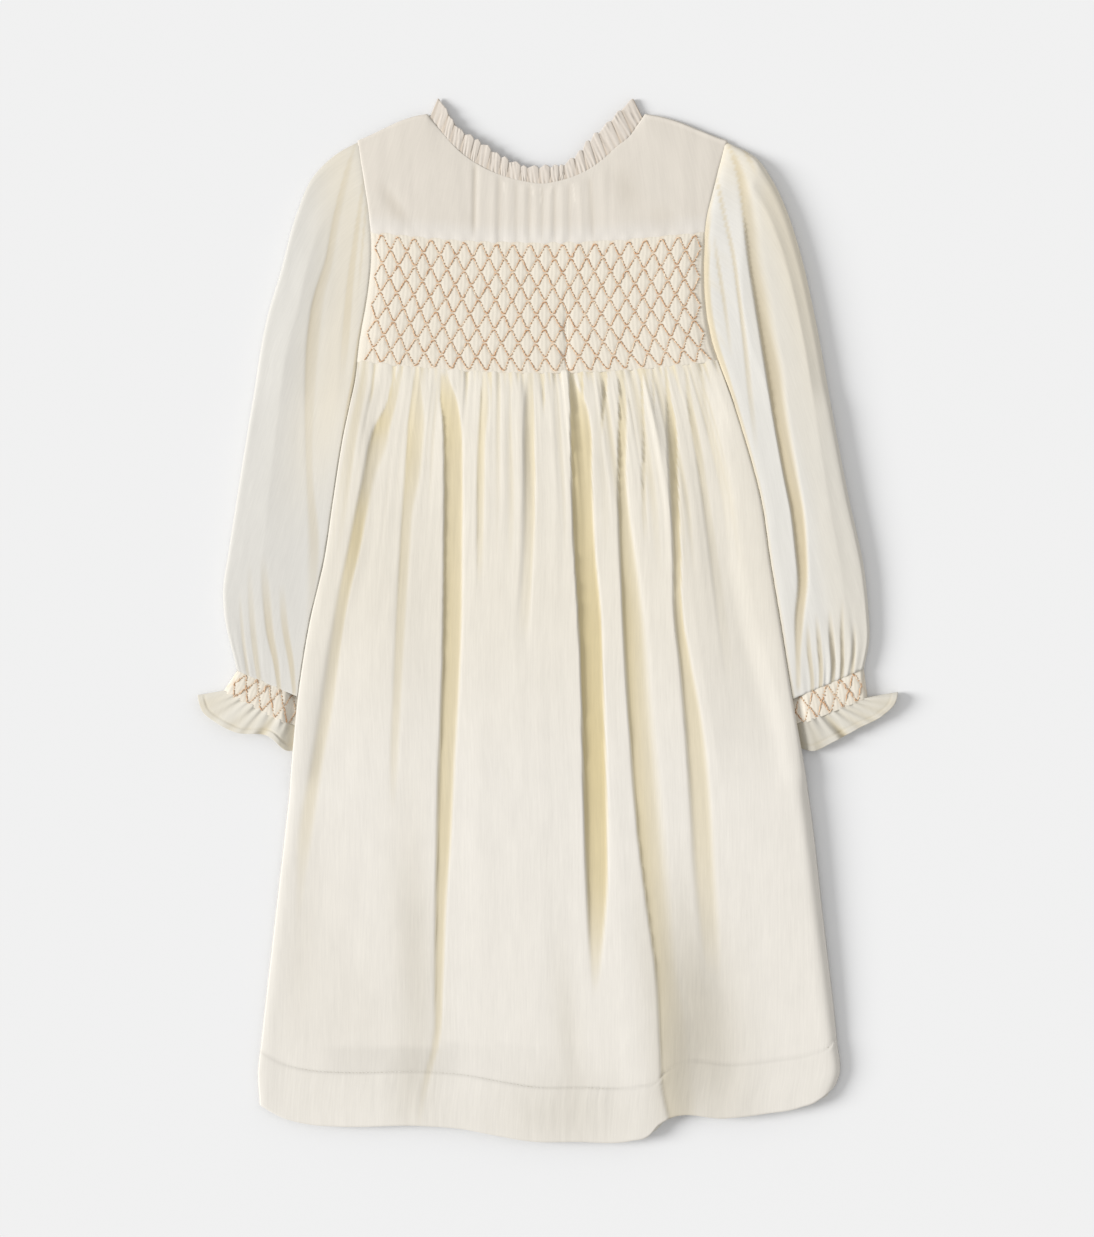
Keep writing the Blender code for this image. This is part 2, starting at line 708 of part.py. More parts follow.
def make_sleeve(side, name, material):
    """Full sleeve as a flattened tube from the armhole seam to the cuff."""
    steps = np.array([0.0, 0.025, 0.06, 0.11, 0.18, 0.27, 0.38, 0.5, 0.62, 0.73, 0.83, 0.92, 1.0])
    top_shares = np.concatenate([[0.0, 0.02, 0.055], np.linspace(0.1, 0.9, 19), [0.945, 0.98, 1.0]])
    under_shares = np.array([0.975, 0.7, 0.35, 0.025])
    lines, outer, inner = sleeve_lines(side, steps)
    widths = np.hypot(*(outer - inner).T)
    lofts = smooth_line(steps, column(SLEEVE_LOFT, 0), column(SLEEVE_LOFT, 1))

    def top_height(index, points, shares):
        x, y = points.T
        from_side = outside_distance(x, y, side)
        cloth = lofts[index] * fold_factor(x, y, SLEEVE_FOLDS[side], SLEEVE_LEVELS)
        head = HEAD_WAVE * np.sin(2 * np.pi * HEAD_GATHERS * shares) * ease(1 - steps[index] / HEAD_SHARE)
        wrist = ease((steps[index] - CUFF_START) / (1 - CUFF_START))
        wrist = CUFF_WAVE * np.sin(2 * np.pi * CUFF_GATHERS * shares) * wrist
        rise = round_edge(shares * widths[index], SLEEVE_ROUND)
        rise = rise * ease((from_side - EDGE_STRIP) / SLEEVE_RAMP)
        return STRIP_HEIGHT + (cloth + head + wrist) * rise

    rings = flat_tube(lines, top_shares, under_shares, top_height)
    return sheet(name, rings, material, wrap=True, face_down=side == PLUS)


def between(start_pair, end_pair, share):
    """Line across a cuff or frill, part of the way from one line to another."""
    start = np.asarray(start_pair, float)
    end = np.asarray(end_pair, float)
    return start + (end - start) * share


def make_cuff(side, name, material):
    """Smocked band: a flattened tube whose outer face is raised in diamonds."""
    columns = 2 * CUFF_DIAMONDS
    top_shares = np.concatenate([[0.0, 0.03], np.linspace(0.09, 0.91, columns + 1), [0.97, 1.0]])
    under_shares = np.array([0.96, 0.6, 0.3, 0.04])
    steps = (0.012, 0.2, 0.5, 0.8, 0.988)
    lines = []
    for step in steps:
        ends = between(CUFF_TOP[side], CUFF_FOOT[side], step)
        lines.append(lambda shares, ends=ends: ends[0] + (ends[1] - ends[0]) * shares[:, None])
    width = np.hypot(*np.subtract(*CUFF_TOP[side]))

    def plain_height(index, points, shares):
        from_side = outside_distance(points[:, 0], points[:, 1], side)
        rise = round_edge(shares * width, CUFF_ROUND) * ease((from_side - EDGE_STRIP) / CUFF_ROUND)
        return STRIP_HEIGHT + CUFF_LOFT * rise

    def raised_height(index, points, shares):
        place = np.arange(len(shares)) - 2
        peak = (place + index) % 2 == 1
        peak = peak & (place > 0) & (place < columns) & (index > 0) & (index < len(steps) - 1)
        from_side = outside_distance(points[:, 0], points[:, 1], side)
        return plain_height(index, points, shares) + CUFF_PUFF * peak * (from_side > PUFF_CLEAR_OF_SKIRT)

    outer = np.stack(flat_tube(lines, top_shares, under_shares, raised_height))
    plain = np.stack(flat_tube(lines, top_shares, under_shares, plain_height))
    inner = tube_inside(plain, len(top_shares))
    return relief_wall(name, outer, inner, material, wrap=True, flip=side == PLUS)


def tube_inside(rings, top_count):
    """Plain inner face of a flattened tube: the outer one, moved in by the cloth's thickness."""
    inner = rings.copy()
    start = rings[:, :1, :2]
    end = rings[:, top_count - 1:top_count, :2]
    middle = (start + end) / 2
    width = np.linalg.norm(end - start, axis=-1, keepdims=True)
    inner[..., :2] = middle + (rings[..., :2] - middle) * (1 - 2 * CLOTH / width)
    inner[:, 1:top_count - 1, 2] = rings[:, 1:top_count - 1, 2] - CLOTH
    inner[:, top_count:, 2] = CLOTH
    return inner


def make_cuff_frill(side, name, material):
    """Flared frill below a cuff: a flattened tube that widens in soft waves."""
    top_shares = np.concatenate([[0.0, 0.02], np.linspace(0.06, 0.94, 25), [0.98, 1.0]])
    under_shares = np.array([0.965, 0.7, 0.3, 0.035])
    steps = (0.0, 0.3, 0.65, 1.0)
    ends = np.asarray(CUFF_FOOT[side], float)
    lines = []
    for step in steps:
        def line(shares, step=step):
            head = ends[0] + (ends[1] - ends[0]) * shares[:, None]
            free = smooth_path(FRILL_EDGES[side], shares)
            down = (free - head) / np.linalg.norm(free - head, axis=1, keepdims=True)
            return head + (free - head) * step + down * GAP * (1 - step)
        lines.append(line)
    widths = [np.hypot(*np.subtract(*line(np.array([0.0, 1.0])))) for line in lines]

    def top_height(index, points, shares):
        from_side = outside_distance(points[:, 0], points[:, 1], side)
        rise = round_edge(shares * widths[index], CUFF_ROUND)
        rise = rise * ease((from_side - EDGE_STRIP) / CUFF_ROUND)
        wave = 0.5 - 0.5 * np.cos(2 * np.pi * FRILL_WAVES * shares)
        flare = CUFF_LOFT * (1 - steps[index]) + FRILL_HEIGHT * wave * steps[index]
        return STRIP_HEIGHT + flare * rise

    rings = flat_tube(lines, top_shares, under_shares, top_height)
    return sheet(name, rings, material, wrap=True, face_down=side == PLUS)


def make_neck_frill(material):
    """Gathered frill round the whole neck: its front part waves above its flat back part."""
    front = np.linspace(0.0, 1.0, 4 * NECK_WAVES + 1)
    back = np.linspace(0.99, 0.01, 16)
    seam_corners = np.array([NECK_SEAM_ENDS[0], *NECKLINE[1:-1], NECK_SEAM_ENDS[1]])
    rows = []
    for down in (0.0, 0.5, 1.0):
        points = []
        for shares in (front, back):
            seam = smooth_path(seam_corners, shares)
            free = smooth_path(NECK_FRILL_EDGE, shares)
            inward = (free - seam) / np.linalg.norm(free - seam, axis=1, keepdims=True)
            points.append(free + (seam + inward * 2 * GAP - free) * down)
        ends = ease(np.minimum(front, 1 - front) / NECK_END_SHARE)
        height = FRONT_LOW + (NECK_SEAM_HEIGHT - FRONT_LOW) * ends
        wave = NECK_WAVE_HEIGHT * (1.0 - (1.0 - SEAM_WAVE_SHARE) * down) * ends
        z = height + wave * np.sin(2 * np.pi * NECK_WAVES * front)
        z[0] = NECK_FOLD_MIDDLE
        z[-1] = NECK_FOLD_MIDDLE
        top = np.column_stack([points[0], z])
        under = np.column_stack([points[1], np.zeros(len(back))])
        rows.append(np.concatenate([top, under]))
    return sheet("neck_frill", rows, material, wrap=True)


def make_back_button(material):
    """Small round button at the top of the slit, under the back."""
    mesh = bpy.data.meshes.new("back_button")
    shape = bmesh.new()
    radius = BUTTON["radius"] * METRE
    bmesh.ops.create_cone(
        shape, cap_ends=True, segments=20, radius1=radius, radius2=radius, depth=BUTTON["thickness"] * METRE
    )
    place = (BUTTON["x"] * METRE, BUTTON["y"] * METRE, BUTTON["thickness"] / 2 * METRE)
    bmesh.ops.translate(shape, vec=place, verts=shape.verts)
    shape.to_mesh(mesh)
    shape.free()
    piece = add_piece("back_button", mesh, material)
    bevel = piece.modifiers.new("rim", "BEVEL")
    bevel.width = 0.4 * METRE
    bevel.segments = 2
    return piece


for old in list(bpy.data.objects):
    bpy.data.objects.remove(old, do_unlink=True)

dress = bpy.data.collections.new("smocked_dress")
cutters = bpy.data.collections.new("cutters")
bpy.context.scene.collection.children.link(dress)
bpy.context.scene.collection.children.link(cutters)

IVORY = (0.85, 0.82, 0.74)
WARM_IVORY = (0.83, 0.78, 0.66)
PEARL = (0.88, 0.86, 0.80)

make_back_bodice(cloth_material("back_bodice_cloth", IVORY))
make_back_button(cloth_material("button_plastic", PEARL, roughness=0.3))
make_skirt_back(cloth_material("skirt_back_cloth", WARM_IVORY))
make_sleeve(MINUS, "sleeve_right", cloth_material("sleeve_right_cloth", IVORY))
make_sleeve(PLUS, "sleeve_left", cloth_material("sleeve_left_cloth", IVORY))
make_cuff(MINUS, "cuff_right", cloth_material("cuff_right_cloth", IVORY))
make_cuff(PLUS, "cuff_left", cloth_material("cuff_left_cloth", IVORY))
make_cuff_frill(MINUS, "cuff_frill_right", cloth_material("cuff_frill_right_cloth", IVORY))
make_cuff_frill(PLUS, "cuff_frill_left", cloth_material("cuff_frill_left_cloth", IVORY))
make_front_yoke(cloth_material("yoke_cloth", IVORY))
make_smocked_panel(cloth_material("smocked_cloth", IVORY))
make_skirt_front(cloth_material("skirt_front_cloth", WARM_IVORY))
make_neck_frill(cloth_material("neck_frill_cloth", IVORY))
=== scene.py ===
"""Looks of a child's smocked dress that lies flat, front up, on a pale surface.

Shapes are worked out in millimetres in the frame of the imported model, and become metres when a
mesh is made. The plus side is the wearer's left. Heights are those of a cloth's outer face.
"""

import bmesh
import bpy
import numpy as np
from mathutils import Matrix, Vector


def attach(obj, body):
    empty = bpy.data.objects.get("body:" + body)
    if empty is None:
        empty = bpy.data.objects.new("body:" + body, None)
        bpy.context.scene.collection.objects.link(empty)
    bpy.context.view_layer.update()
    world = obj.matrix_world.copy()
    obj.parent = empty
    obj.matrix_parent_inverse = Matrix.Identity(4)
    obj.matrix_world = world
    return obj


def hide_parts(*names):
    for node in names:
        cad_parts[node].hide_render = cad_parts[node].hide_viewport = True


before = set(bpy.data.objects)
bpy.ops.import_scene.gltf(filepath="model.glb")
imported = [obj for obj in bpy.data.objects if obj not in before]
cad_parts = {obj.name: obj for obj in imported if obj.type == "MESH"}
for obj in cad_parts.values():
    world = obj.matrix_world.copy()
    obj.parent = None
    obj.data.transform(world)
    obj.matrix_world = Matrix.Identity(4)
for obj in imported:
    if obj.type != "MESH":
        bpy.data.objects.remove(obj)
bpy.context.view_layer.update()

METRE = 0.001
MINUS, PLUS = 0, 1

# Cloth and the heights at which the layers lie
WALL = 0.8
GAP = 0.3
SEAM_LAP = 0.5
FRONT_LOW = 2.9
SEAM_HEIGHT = 3.8
FOLD_MIDDLE = 1.9
FOLD_RADIUS = 3.0
BODY_LOFT = 2.4
BODY_ROUND = 30.0
EDGE_STRIP = 1.5
# Share of its slope that thin cloth shows in its shading
EVENNESS = 0.38

# Sides of the dress: the armhole seams down to UNDERARM, then the skirt's side seams
UNDERARM = 166.6
SIDES = (
    # y, x on the minus side, x on the plus side
    (335.3, -132.7, 125.6),
    (307.0, -128.2, 117.9),
    (279.0, -124.3, 111.2),
    (255.0, -123.4, 109.5),
    (230.0, -125.7, 109.8),
    (195.0, -131.7, 115.1),
    (166.6, -135.2, 124.9),
    (125.0, -143.6, 138.2),
    (83.0, -150.2, 149.4),
    (41.0, -156.5, 155.7),
    (-1.0, -166.3, 162.7),
    (-43.0, -173.3, 169.3),
    (-127.0, -181.7, 183.7),
    (-211.0, -191.2, 193.5),
    (-295.0, -200.6, 202.9),
    (-319.0, -203.1, 204.7),
    (-337.0, -202.0, 197.0),
)
NECKLINE = (
    # x, y from the minus shoulder to the plus shoulder
    (-84.0, 354.0),
    (-73.2, 340.9),
    (-62.0, 328.3),
    (-50.8, 319.9),
    (-30.5, 310.5),
    (-18.6, 307.3),
    (-3.2, 305.2),
    (9.4, 307.3),
    (19.2, 310.5),
    (31.8, 317.1),
    (44.4, 327.6),
    (57.0, 338.8),
    (68.0, 354.0),
)
SHOULDER_RISE = 4.0
NECK_CORNER_REACH = 22.0
YOKE_ROUND = 26.0
YOKE_LINE = {"y": 262.5, "rise": 8.0, "middle": -6.0, "half": 118.0}
WAIST_LINE = {"y": 172.9, "rise": 8.0, "middle": -8.0, "half": 122.0}
BACK_WAIST_LINE = {"y": 172.9, "rise": 0.0, "middle": 0.0, "half": 122.0}

# Smocking
DIAMONDS_ACROSS = 20
HALF_ROWS = 9
PUFF = 1.7
SMOCK_INSET_TOP = 1.5
SMOCK_INSET_WAIST = 4.5
PLEATS_PER_DIAMOND = 4

# Hem and loft of the skirt
HEM = (
    # x, y
    (-202.0, -340.2),
    (-186.6, -348.6),
    (-165.6, -353.9),
    (-143.9, -355.3),
    (-86.5, -354.6),
    (-58.2, -356.7),
    (-29.8, -361.9),
    (-8.1, -365.4),
    (24.8, -365.8),
    (63.3, -365.1),
    (76.6, -361.2),
    (82.9, -354.2),
    (88.5, -350.7),
    (131.2, -349.3),
    (161.6, -345.8),
    (184.4, -341.6),
    (199.8, -333.9),
    (204.7, -326.9),
)
HEM_DEPTH = 38.0
HEM_STEP = 0.5
BACK_HEM_SHORTER = 3.0
SKIRT_LOFT = (
    # y, height
    (180.0, 3.3),
    (150.0, 6.5),
    (100.0, 9.0),
    (0.0, 10.5),
    (-150.0, 10.5),
    (-260.0, 8.5),
    (-330.0, 6.0),
    (-370.0, 4.5),
)
SIDE_SEAM_ROUND = 12.0
SIDE_SEAM_FADE = (150.0, 170.0)
LEAST_LOFT = 0.4
LOFT_TAKEN_BY_LIFT = 0.8

# Sleeves
SLEEVE_EDGES = (
    (
        (-134.6, 335.7),
        (-150.2, 326.9),
        (-167.0, 310.1),
        (-178.2, 283.5),
        (-188.7, 242.9),
        (-197.1, 213.5),
        (-207.6, 150.5),
        (-218.1, 84.0),
        (-223.7, 47.6),
        (-227.6, 19.6),
        (-227.2, 7.7),
        (-217.8, -36.0),
    ),
    (
        (127.4, 335.7),
        (150.8, 322.0),
        (159.2, 309.4),
        (169.0, 288.4),
        (176.0, 266.7),
        (189.3, 207.2),
        (199.1, 150.5),
        (210.3, 90.3),
        (222.9, 28.7),
        (225.0, 6.3),
        (225.7, -14.0),
        (221.8, -34.6),
    ),
)
TUCK_UNDER = (
    # y, distance of the sleeve's inner edge inside the skirt's side
    (150.0, -0.6),
    (146.0, -0.6),
    (125.0, 6.0),
    (83.0, 10.0),
    (0.0, 10.0),
    (-35.0, 6.0),
    (-57.0, 3.2),
    (-120.0, 3.2),
)
LIFT_START = (172.0, 149.0)
LIFT_END = (-97.0, -117.0)
LIFT_CLEAR = 2.6
LIFT_RAMP = 16.0
FRONT_LIFT_MARGIN = 2.0
STRIP_HEIGHT = 3.8
SLEEVE_LOFT = (
    # share of the sleeve's length, height of its cloth above the inner strip
    (0.0, 9.5),
    (0.3, 9.0),
    (0.8, 7.5),
    (1.0, 3.4),
)

# Cuffs and frills
CUFF_TOP = (
    ((-217.8, -36.4), (-171.9, -56.0)),
    ((221.8, -35.0), (168.6, -57.5)),
)
CUFF_FOOT = (
    ((-226.9, -50.1), (-174.2, -77.3)),
    ((224.3, -54.6), (171.9, -75.4)),
)
CUFF_LOFT = 3.4
CUFF_ROUND = 9.0
CUFF_DIAMONDS = 5
CUFF_PUFF = 0.9
FRILL_EDGES = (
    (
        (-245.4, -53.2),
        (-241.2, -65.1),
        (-231.4, -72.8),
        (-218.8, -79.1),
        (-195.7, -81.9),
        (-181.0, -92.4),
        (-174.9, -91.2),
    ),
    (
        (245.6, -51.1),
        (243.2, -58.8),
        (234.1, -67.9),
        (219.4, -75.6),
        (199.8, -86.1),
        (185.1, -92.4),
        (173.6, -89.0),
    ),
)
FRILL_HEIGHT = 4.5
NECK_FRILL_EDGE = (
    (-76.7, 365.7),
    (-68.0, 352.0),
    (-64.0, 345.8),
    (-56.4, 338.8),
    (-42.4, 330.4),
    (-24.9, 319.2),
    (-7.4, 316.1),
    (8.7, 317.1),
    (22.0, 326.2),
    (29.0, 333.9),
    (45.1, 350.0),
    (59.8, 365.4),
)
NECK_SEAM_HEIGHT = 5.4
NECK_SEAM_ENDS = ((-82.4, 352.2), (66.4, 352.0))
NECK_END_SHARE = 0.12

# Opening in the back
BACK_SLIT = {"x": -3.6, "width": 0.8, "length": 115.0}
BUTTON = {"x": 3.4, "y": 293.0, "radius": 5.0, "thickness": 1.5}
BUTTON_LIFT = {"height": 1.8, "full": 6.5, "end": 13.0}

# Troughs between the folds of the skirt front, from the wearer's right to the left
SKIRT_TROUGHS = (
    # rows of y, left edge's x, left softness, right edge's x, right softness, depth, painted warm shade
    (
        (176, -104.0, 1.0, -101.0, 2.0, 0.7, 0.30),
        (150, -113.0, 1.6, -106.0, 3.0, 1.6, 0.50),
        (135, -121.0, 2.0, -110.0, 4.0, 2.0, 0.65),
        (122, -125.0, 2.0, -112.0, 6.0, 1.9, 0.50),
        (100, -129.0, 2.4, -120.0, 6.0, 1.8, 0.45),
        (75, -134.5, 3.0, -126.0, 4.0, 1.8, 0.60),
        (47, -140.0, 3.0, -131.5, 2.5, 1.8, 0.62),
        (20, -146.0, 4.0, -138.0, 2.5, 1.6, 0.50),
        (-15, -152.0, 5.0, -144.0, 3.0, 1.4, 0.38),
        (-60, -158.5, 5.0, -150.0, 4.0, 1.2, 0.30),
        (-100, -165.0, 5.0, -157.5, 5.0, 1.1, 0.30),
        (-150, -174.0, 6.0, -165.0, 5.0, 0.9, 0.22),
        (-190, -176.0, 6.0, -170.0, 6.0, 0.5, 0.10),
        (-240, -178.0, 6.0, -173.0, 6.0, 0.0, 0.0),
    ),
    (
        (180, -107.0, 0.9, -105.0, 0.9, 0.8, 0.35),
        (160, -110.5, 0.9, -108.5, 0.9, 1.0, 0.50),
        (145, -114.5, 0.9, -112.5, 0.9, 0.8, 0.45),
        (128, -119.0, 0.9, -117.0, 0.9, 0.0, 0.0),
    ),
    (
        (176, -122.0, 0.9, -120.4, 0.9, 0.8, 0.45),
        (160, -124.0, 0.9, -122.0, 0.9, 0.8, 0.40),
        (146, -126.0, 0.9, -124.4, 0.9, 0.0, 0.0),
    ),
    (
        (180, -92.0, 1.0, -90.5, 1.0, 0.8, 0.35),
        (160, -95.0, 1.4, -88.0, 2.5, 1.2, 0.42),
        (140, -97.5, 1.6, -86.0, 4.0, 1.6, 0.52),
        (120, -98.8, 1.8, -87.0, 5.0, 1.8, 0.58),
        (100, -100.0, 1.8, -89.0, 5.0, 1.7, 0.52),
        (75, -102.0, 2.0, -94.0, 4.0, 1.5, 0.42),
        (48, -103.5, 2.2, -96.0, 4.0, 1.4, 0.42),
        (0, -106.0, 2.5, -99.0, 4.0, 1.3, 0.36),
        (-50, -108.0, 3.0, -102.0, 4.0, 1.0, 0.28),
        (-100, -110.0, 3.0, -104.5, 4.0, 0.6, 0.18),
        (-140, -110.0, 3.0, -106.0, 4.0, 0.0, 0.0),
    ),
    (
        (168, -75.0, 1.0, -69.0, 1.4, 1.2, 0.42),
        (155, -75.3, 1.2, -64.0, 1.8, 1.9, 0.60),
        (140, -73.5, 1.3, -61.0, 2.0, 2.3, 0.66),
        (100, -72.4, 1.4, -59.4, 2.0, 2.4, 0.62),
        (50, -72.6, 1.4, -59.6, 2.2, 2.4, 0.64),
        (0, -73.0, 1.5, -60.0, 2.4, 2.3, 0.66),
        (-50, -74.0, 1.6, -62.0, 2.6, 2.1, 0.64),
        (-100, -76.0, 1.8, -65.0, 3.0, 1.9, 0.60),
        (-150, -77.3, 2.0, -67.5, 2.6, 1.7, 0.58),
        (-200, -78.3, 2.0, -71.0, 2.4, 1.4, 0.50),
        (-250, -79.0, 2.0, -73.0, 2.2, 1.1, 0.42),
        (-297, -80.5, 2.4, -76.0, 2.4, 0.8, 0.30),
        (-325, -88.0, 3.0, -83.0, 3.0, 0.5, 0.18),
        (-352, -92.0, 3.0, -88.0, 3.0, 0.2, 0.06),
    ),
    (
        (178, -45.0, 0.9, -43.4, 1.0, 0.7, 0.25),
        (150, -47.5, 1.2, -41.0, 2.5, 1.2, 0.42),
        (125, -48.6, 1.4, -43.4, 3.0, 1.5, 0.55),
        (100, -49.2, 1.4, -43.8, 3.0, 1.4, 0.50),
        (75, -49.5, 1.5, -44.2, 3.0, 1.2, 0.42),
        (45, -49.6, 1.6, -44.6, 3.0, 0.8, 0.28),
        (10, -49.6, 2.0, -45.5, 3.0, 0.0, 0.0),
    ),
    (
        (178, -13.0, 1.0, -10.0, 1.0, 0.7, 0.25),
        (150, -16.0, 3.0, -9.6, 1.2, 1.2, 0.42),
        (120, -16.6, 3.5, -9.0, 1.3, 1.5, 0.50),
        (97, -16.6, 4.0, -8.6, 1.4, 1.4, 0.46),
        (70, -17.0, 4.5, -9.0, 1.5, 1.2, 0.40),
        (40, -18.0, 5.0, -10.0, 2.0, 1.0, 0.30),
        (0, -21.0, 5.0, -12.5, 2.5, 0.6, 0.18),
        (-30, -22.0, 5.0, -14.0, 3.0, 0.0, 0.0),
    ),
    (
        (178, -4.0, 0.8, -2.4, 0.8, 0.7, 0.35),
        (155, -3.7, 0.8, -1.9, 0.9, 0.9, 0.42),
        (138, -3.5, 0.8, -2.0, 0.9, 0.0, 0.0),
    ),
    (
        (178, 15.0, 0.9, 17.5, 1.0, 1.0, 0.40),
        (165, 15.0, 1.0, 20.0, 1.6, 1.5, 0.55),
        (150, 15.8, 1.1, 27.0, 2.0, 2.2, 0.66),
        (135, 16.0, 1.2, 30.0, 2.0, 2.7, 0.72),
        (100, 16.8, 1.2, 31.0, 1.8, 2.9, 0.74),
        (50, 18.5, 1.3, 33.0, 1.8, 2.9, 0.76),
        (0, 21.5, 1.3, 37.5, 1.8, 2.8, 0.80),
        (-50, 23.6, 1.4, 39.0, 1.8, 2.7, 0.80),
        (-100, 24.8, 1.6, 40.6, 1.8, 2.6, 0.80),
        (-150, 26.0, 1.8, 41.6, 2.0, 2.3, 0.74),
        (-190, 27.5, 2.4, 41.4, 2.4, 1.9, 0.64),
        (-215, 28.5, 3.0, 39.5, 3.0, 1.4, 0.48),
        (-240, 30.0, 3.0, 37.0, 3.5, 0.7, 0.25),
        (-262, 31.0, 3.0, 35.0, 3.5, 0.0, 0.0),
    ),
    (
        (178, 23.0, 0.9, 24.6, 0.9, 1.0, 0.50),
        (155, 23.4, 0.9, 25.4, 0.9, 1.1, 0.52),
        (140, 24.0, 0.9, 26.0, 1.0, 0.5, 0.25),
        (125, 25.0, 1.0, 27.0, 1.0, 0.0, 0.0),
    ),
    (
        (178, 39.4, 1.0, 42.0, 0.9, 1.0, 0.42),
        (155, 38.2, 1.1, 41.2, 0.9, 1.3, 0.52),
        (140, 37.2, 1.1, 39.6, 1.0, 0.9, 0.38),
        (122, 36.8, 1.1, 38.6, 1.0, 0.0, 0.0),
    ),
    (
        (175, 49.5, 1.0, 53.0, 1.0, 0.9, 0.35),
        (155, 49.8, 1.0, 55.0, 1.5, 1.5, 0.50),
        (125, 49.4, 1.2, 55.2, 2.0, 2.0, 0.62),
        (100, 49.2, 1.2, 54.8, 2.0, 2.1, 0.62),
        (75, 49.4, 1.2, 57.0, 3.0, 2.2, 0.62),
        (50, 50.2, 1.3, 60.5, 4.0, 2.3, 0.62),
        (0, 52.6, 1.5, 67.0, 7.0, 2.5, 0.72),
        (-50, 55.4, 1.5, 71.0, 9.0, 2.4, 0.68),
        (-100, 58.6, 1.6, 75.5, 9.0, 2.3, 0.62),
        (-150, 62.8, 1.6, 80.0, 10.0, 2.1, 0.62),
        (-200, 69.0, 1.8, 86.0, 13.0, 2.0, 0.56),
        (-250, 75.6, 2.0, 94.0, 18.0, 2.1, 0.48),
        (-300, 78.2, 2.0, 106.0, 22.0, 2.0, 0.36),
        (-330, 80.0, 2.5, 108.0, 22.0, 1.8, 0.32),
        (-352, 85.0, 3.0, 104.0, 14.0, 1.4, 0.32),
    ),
    (
        (178, 64.8, 0.9, 66.4, 0.9, 0.9, 0.42),
        (150, 65.5, 0.9, 67.3, 1.0, 1.1, 0.50),
        (125, 66.6, 1.0, 68.8, 1.2, 1.2, 0.46),
        (97, 65.6, 1.1, 68.6, 1.4, 1.0, 0.38),
        (70, 66.0, 1.2, 69.6, 1.8, 0.6, 0.24),
        (40, 67.5, 1.5, 71.0, 2.0, 0.0, 0.0),
    ),
    (
        (178, 73.0, 0.8, 74.6, 0.8, 0.7, 0.35),
        (152, 73.5, 0.8, 75.2, 0.9, 0.6, 0.26),
        (138, 74.0, 0.8, 75.4, 0.9, 0.0, 0.0),
    ),
    (
        (178, 81.6, 1.0, 83.2, 1.0, 0.9, 0.35),
        (155, 82.8, 1.5, 86.4, 1.1, 1.5, 0.50),
        (135, 83.6, 2.0, 90.0, 1.1, 1.9, 0.60),
        (100, 85.0, 2.0, 91.0, 1.1, 2.0, 0.66),
        (50, 87.5, 2.0, 93.0, 1.2, 1.8, 0.60),
        (0, 88.6, 2.2, 94.6, 1.5, 1.7, 0.56),
        (-25, 91.5, 2.5, 99.0, 3.0, 1.7, 0.52),
        (-75, 96.0, 3.0, 108.0, 4.0, 1.6, 0.46),
        (-125, 99.5, 4.0, 113.0, 5.0, 1.4, 0.40),
        (-175, 102.5, 6.0, 116.0, 6.0, 1.2, 0.32),
        (-225, 107.0, 7.0, 120.0, 8.0, 0.8, 0.22),
        (-270, 110.0, 8.0, 124.0, 9.0, 0.0, 0.0),
    ),
    (
        (180, 96.0, 1.0, 98.0, 1.0, 0.8, 0.25),
        (155, 97.4, 1.2, 101.0, 1.6, 1.2, 0.38),
        (137, 99.5, 1.6, 104.5, 2.0, 1.4, 0.42),
        (120, 102.6, 2.0, 108.0, 3.0, 1.4, 0.40),
        (97, 106.0, 2.0, 111.5, 3.5, 1.3, 0.34),
        (60, 111.0, 2.5, 117.5, 4.0, 1.0, 0.25),
        (20, 116.0, 3.0, 124.0, 5.0, 0.8, 0.18),
        (-20, 121.0, 3.5, 130.0, 6.0, 0.5, 0.12),
        (-70, 128.0, 4.0, 138.0, 7.0, 0.0, 0.0),
    ),
    (
        (178, 106.6, 1.0, 108.4, 1.1, 0.8, 0.30),
        (152, 109.0, 1.0, 111.4, 1.3, 0.8, 0.30),
        (125, 112.0, 1.2, 114.4, 1.6, 0.0, 0.0),
    ),
)
# Broad hollows and swells of the skirt front, with the painted shade of each; a shade below zero is painted
# light
SKIRT_SWELLS = (
    # height, shade, half width, half length, x, y, slant of its length from the y axis in degrees
    (-0.8, 0.42, 15.0, 90.0, -92.0, -235.0, 4.0),
    (-0.3, 0.25, 13.0, 32.0, -97.0, -330.0, 0.0),
    (-0.3, 0.12, 24.0, 45.0, -125.0, -285.0, 0.0),
    (-0.9, 0.80, 28.0, 78.0, 104.0, -276.0, 12.0),
    (0.0, 0.24, 24.0, 110.0, -96.0, 0.0, 4.0),
    (0.0, 0.26, 46.0, 26.0, 12.0, -346.0, 0.0),
    (0.0, 0.12, 30.0, 90.0, -160.0, -250.0, 0.0),
    (-0.2, 0.45, 14.0, 40.0, 90.0, -328.0, 0.0),
    (-0.5, 0.26, 9.0, 50.0, 14.0, -285.0, 6.0),
    (-0.4, 0.16, 7.0, 80.0, 124.0, 20.0, 14.0),
    (-0.3, 0.12, 9.0, 60.0, -172.0, -225.0, -6.0),
    (-0.3, 0.16, 7.0, 26.0, 38.0, 112.0, 0.0),
    (0.6, -0.10, 10.0, 120.0, -52.0, -150.0, 0.0),
    (0.6, -0.10, 9.0, 120.0, 50.0, -200.0, 4.0),
    (0.5, 0.0, 18.0, 130.0, 150.0, -160.0, 8.0),
    (0.5, 0.0, 16.0, 140.0, -135.0, -150.0, -8.0),
)
# The lining's hem shows faintly through the skirt
LINING_HEM = {"y": -297.0, "left": -165.0, "right": -62.0, "shade": 0.20}
TROUGH_FADE = 8.0
# Fine wedges between the gathers below the smocking
WEDGES = {"count": 58, "width": (0.8, 1.7), "length": (12.0, 52.0), "depth": (0.25, 1.0)}

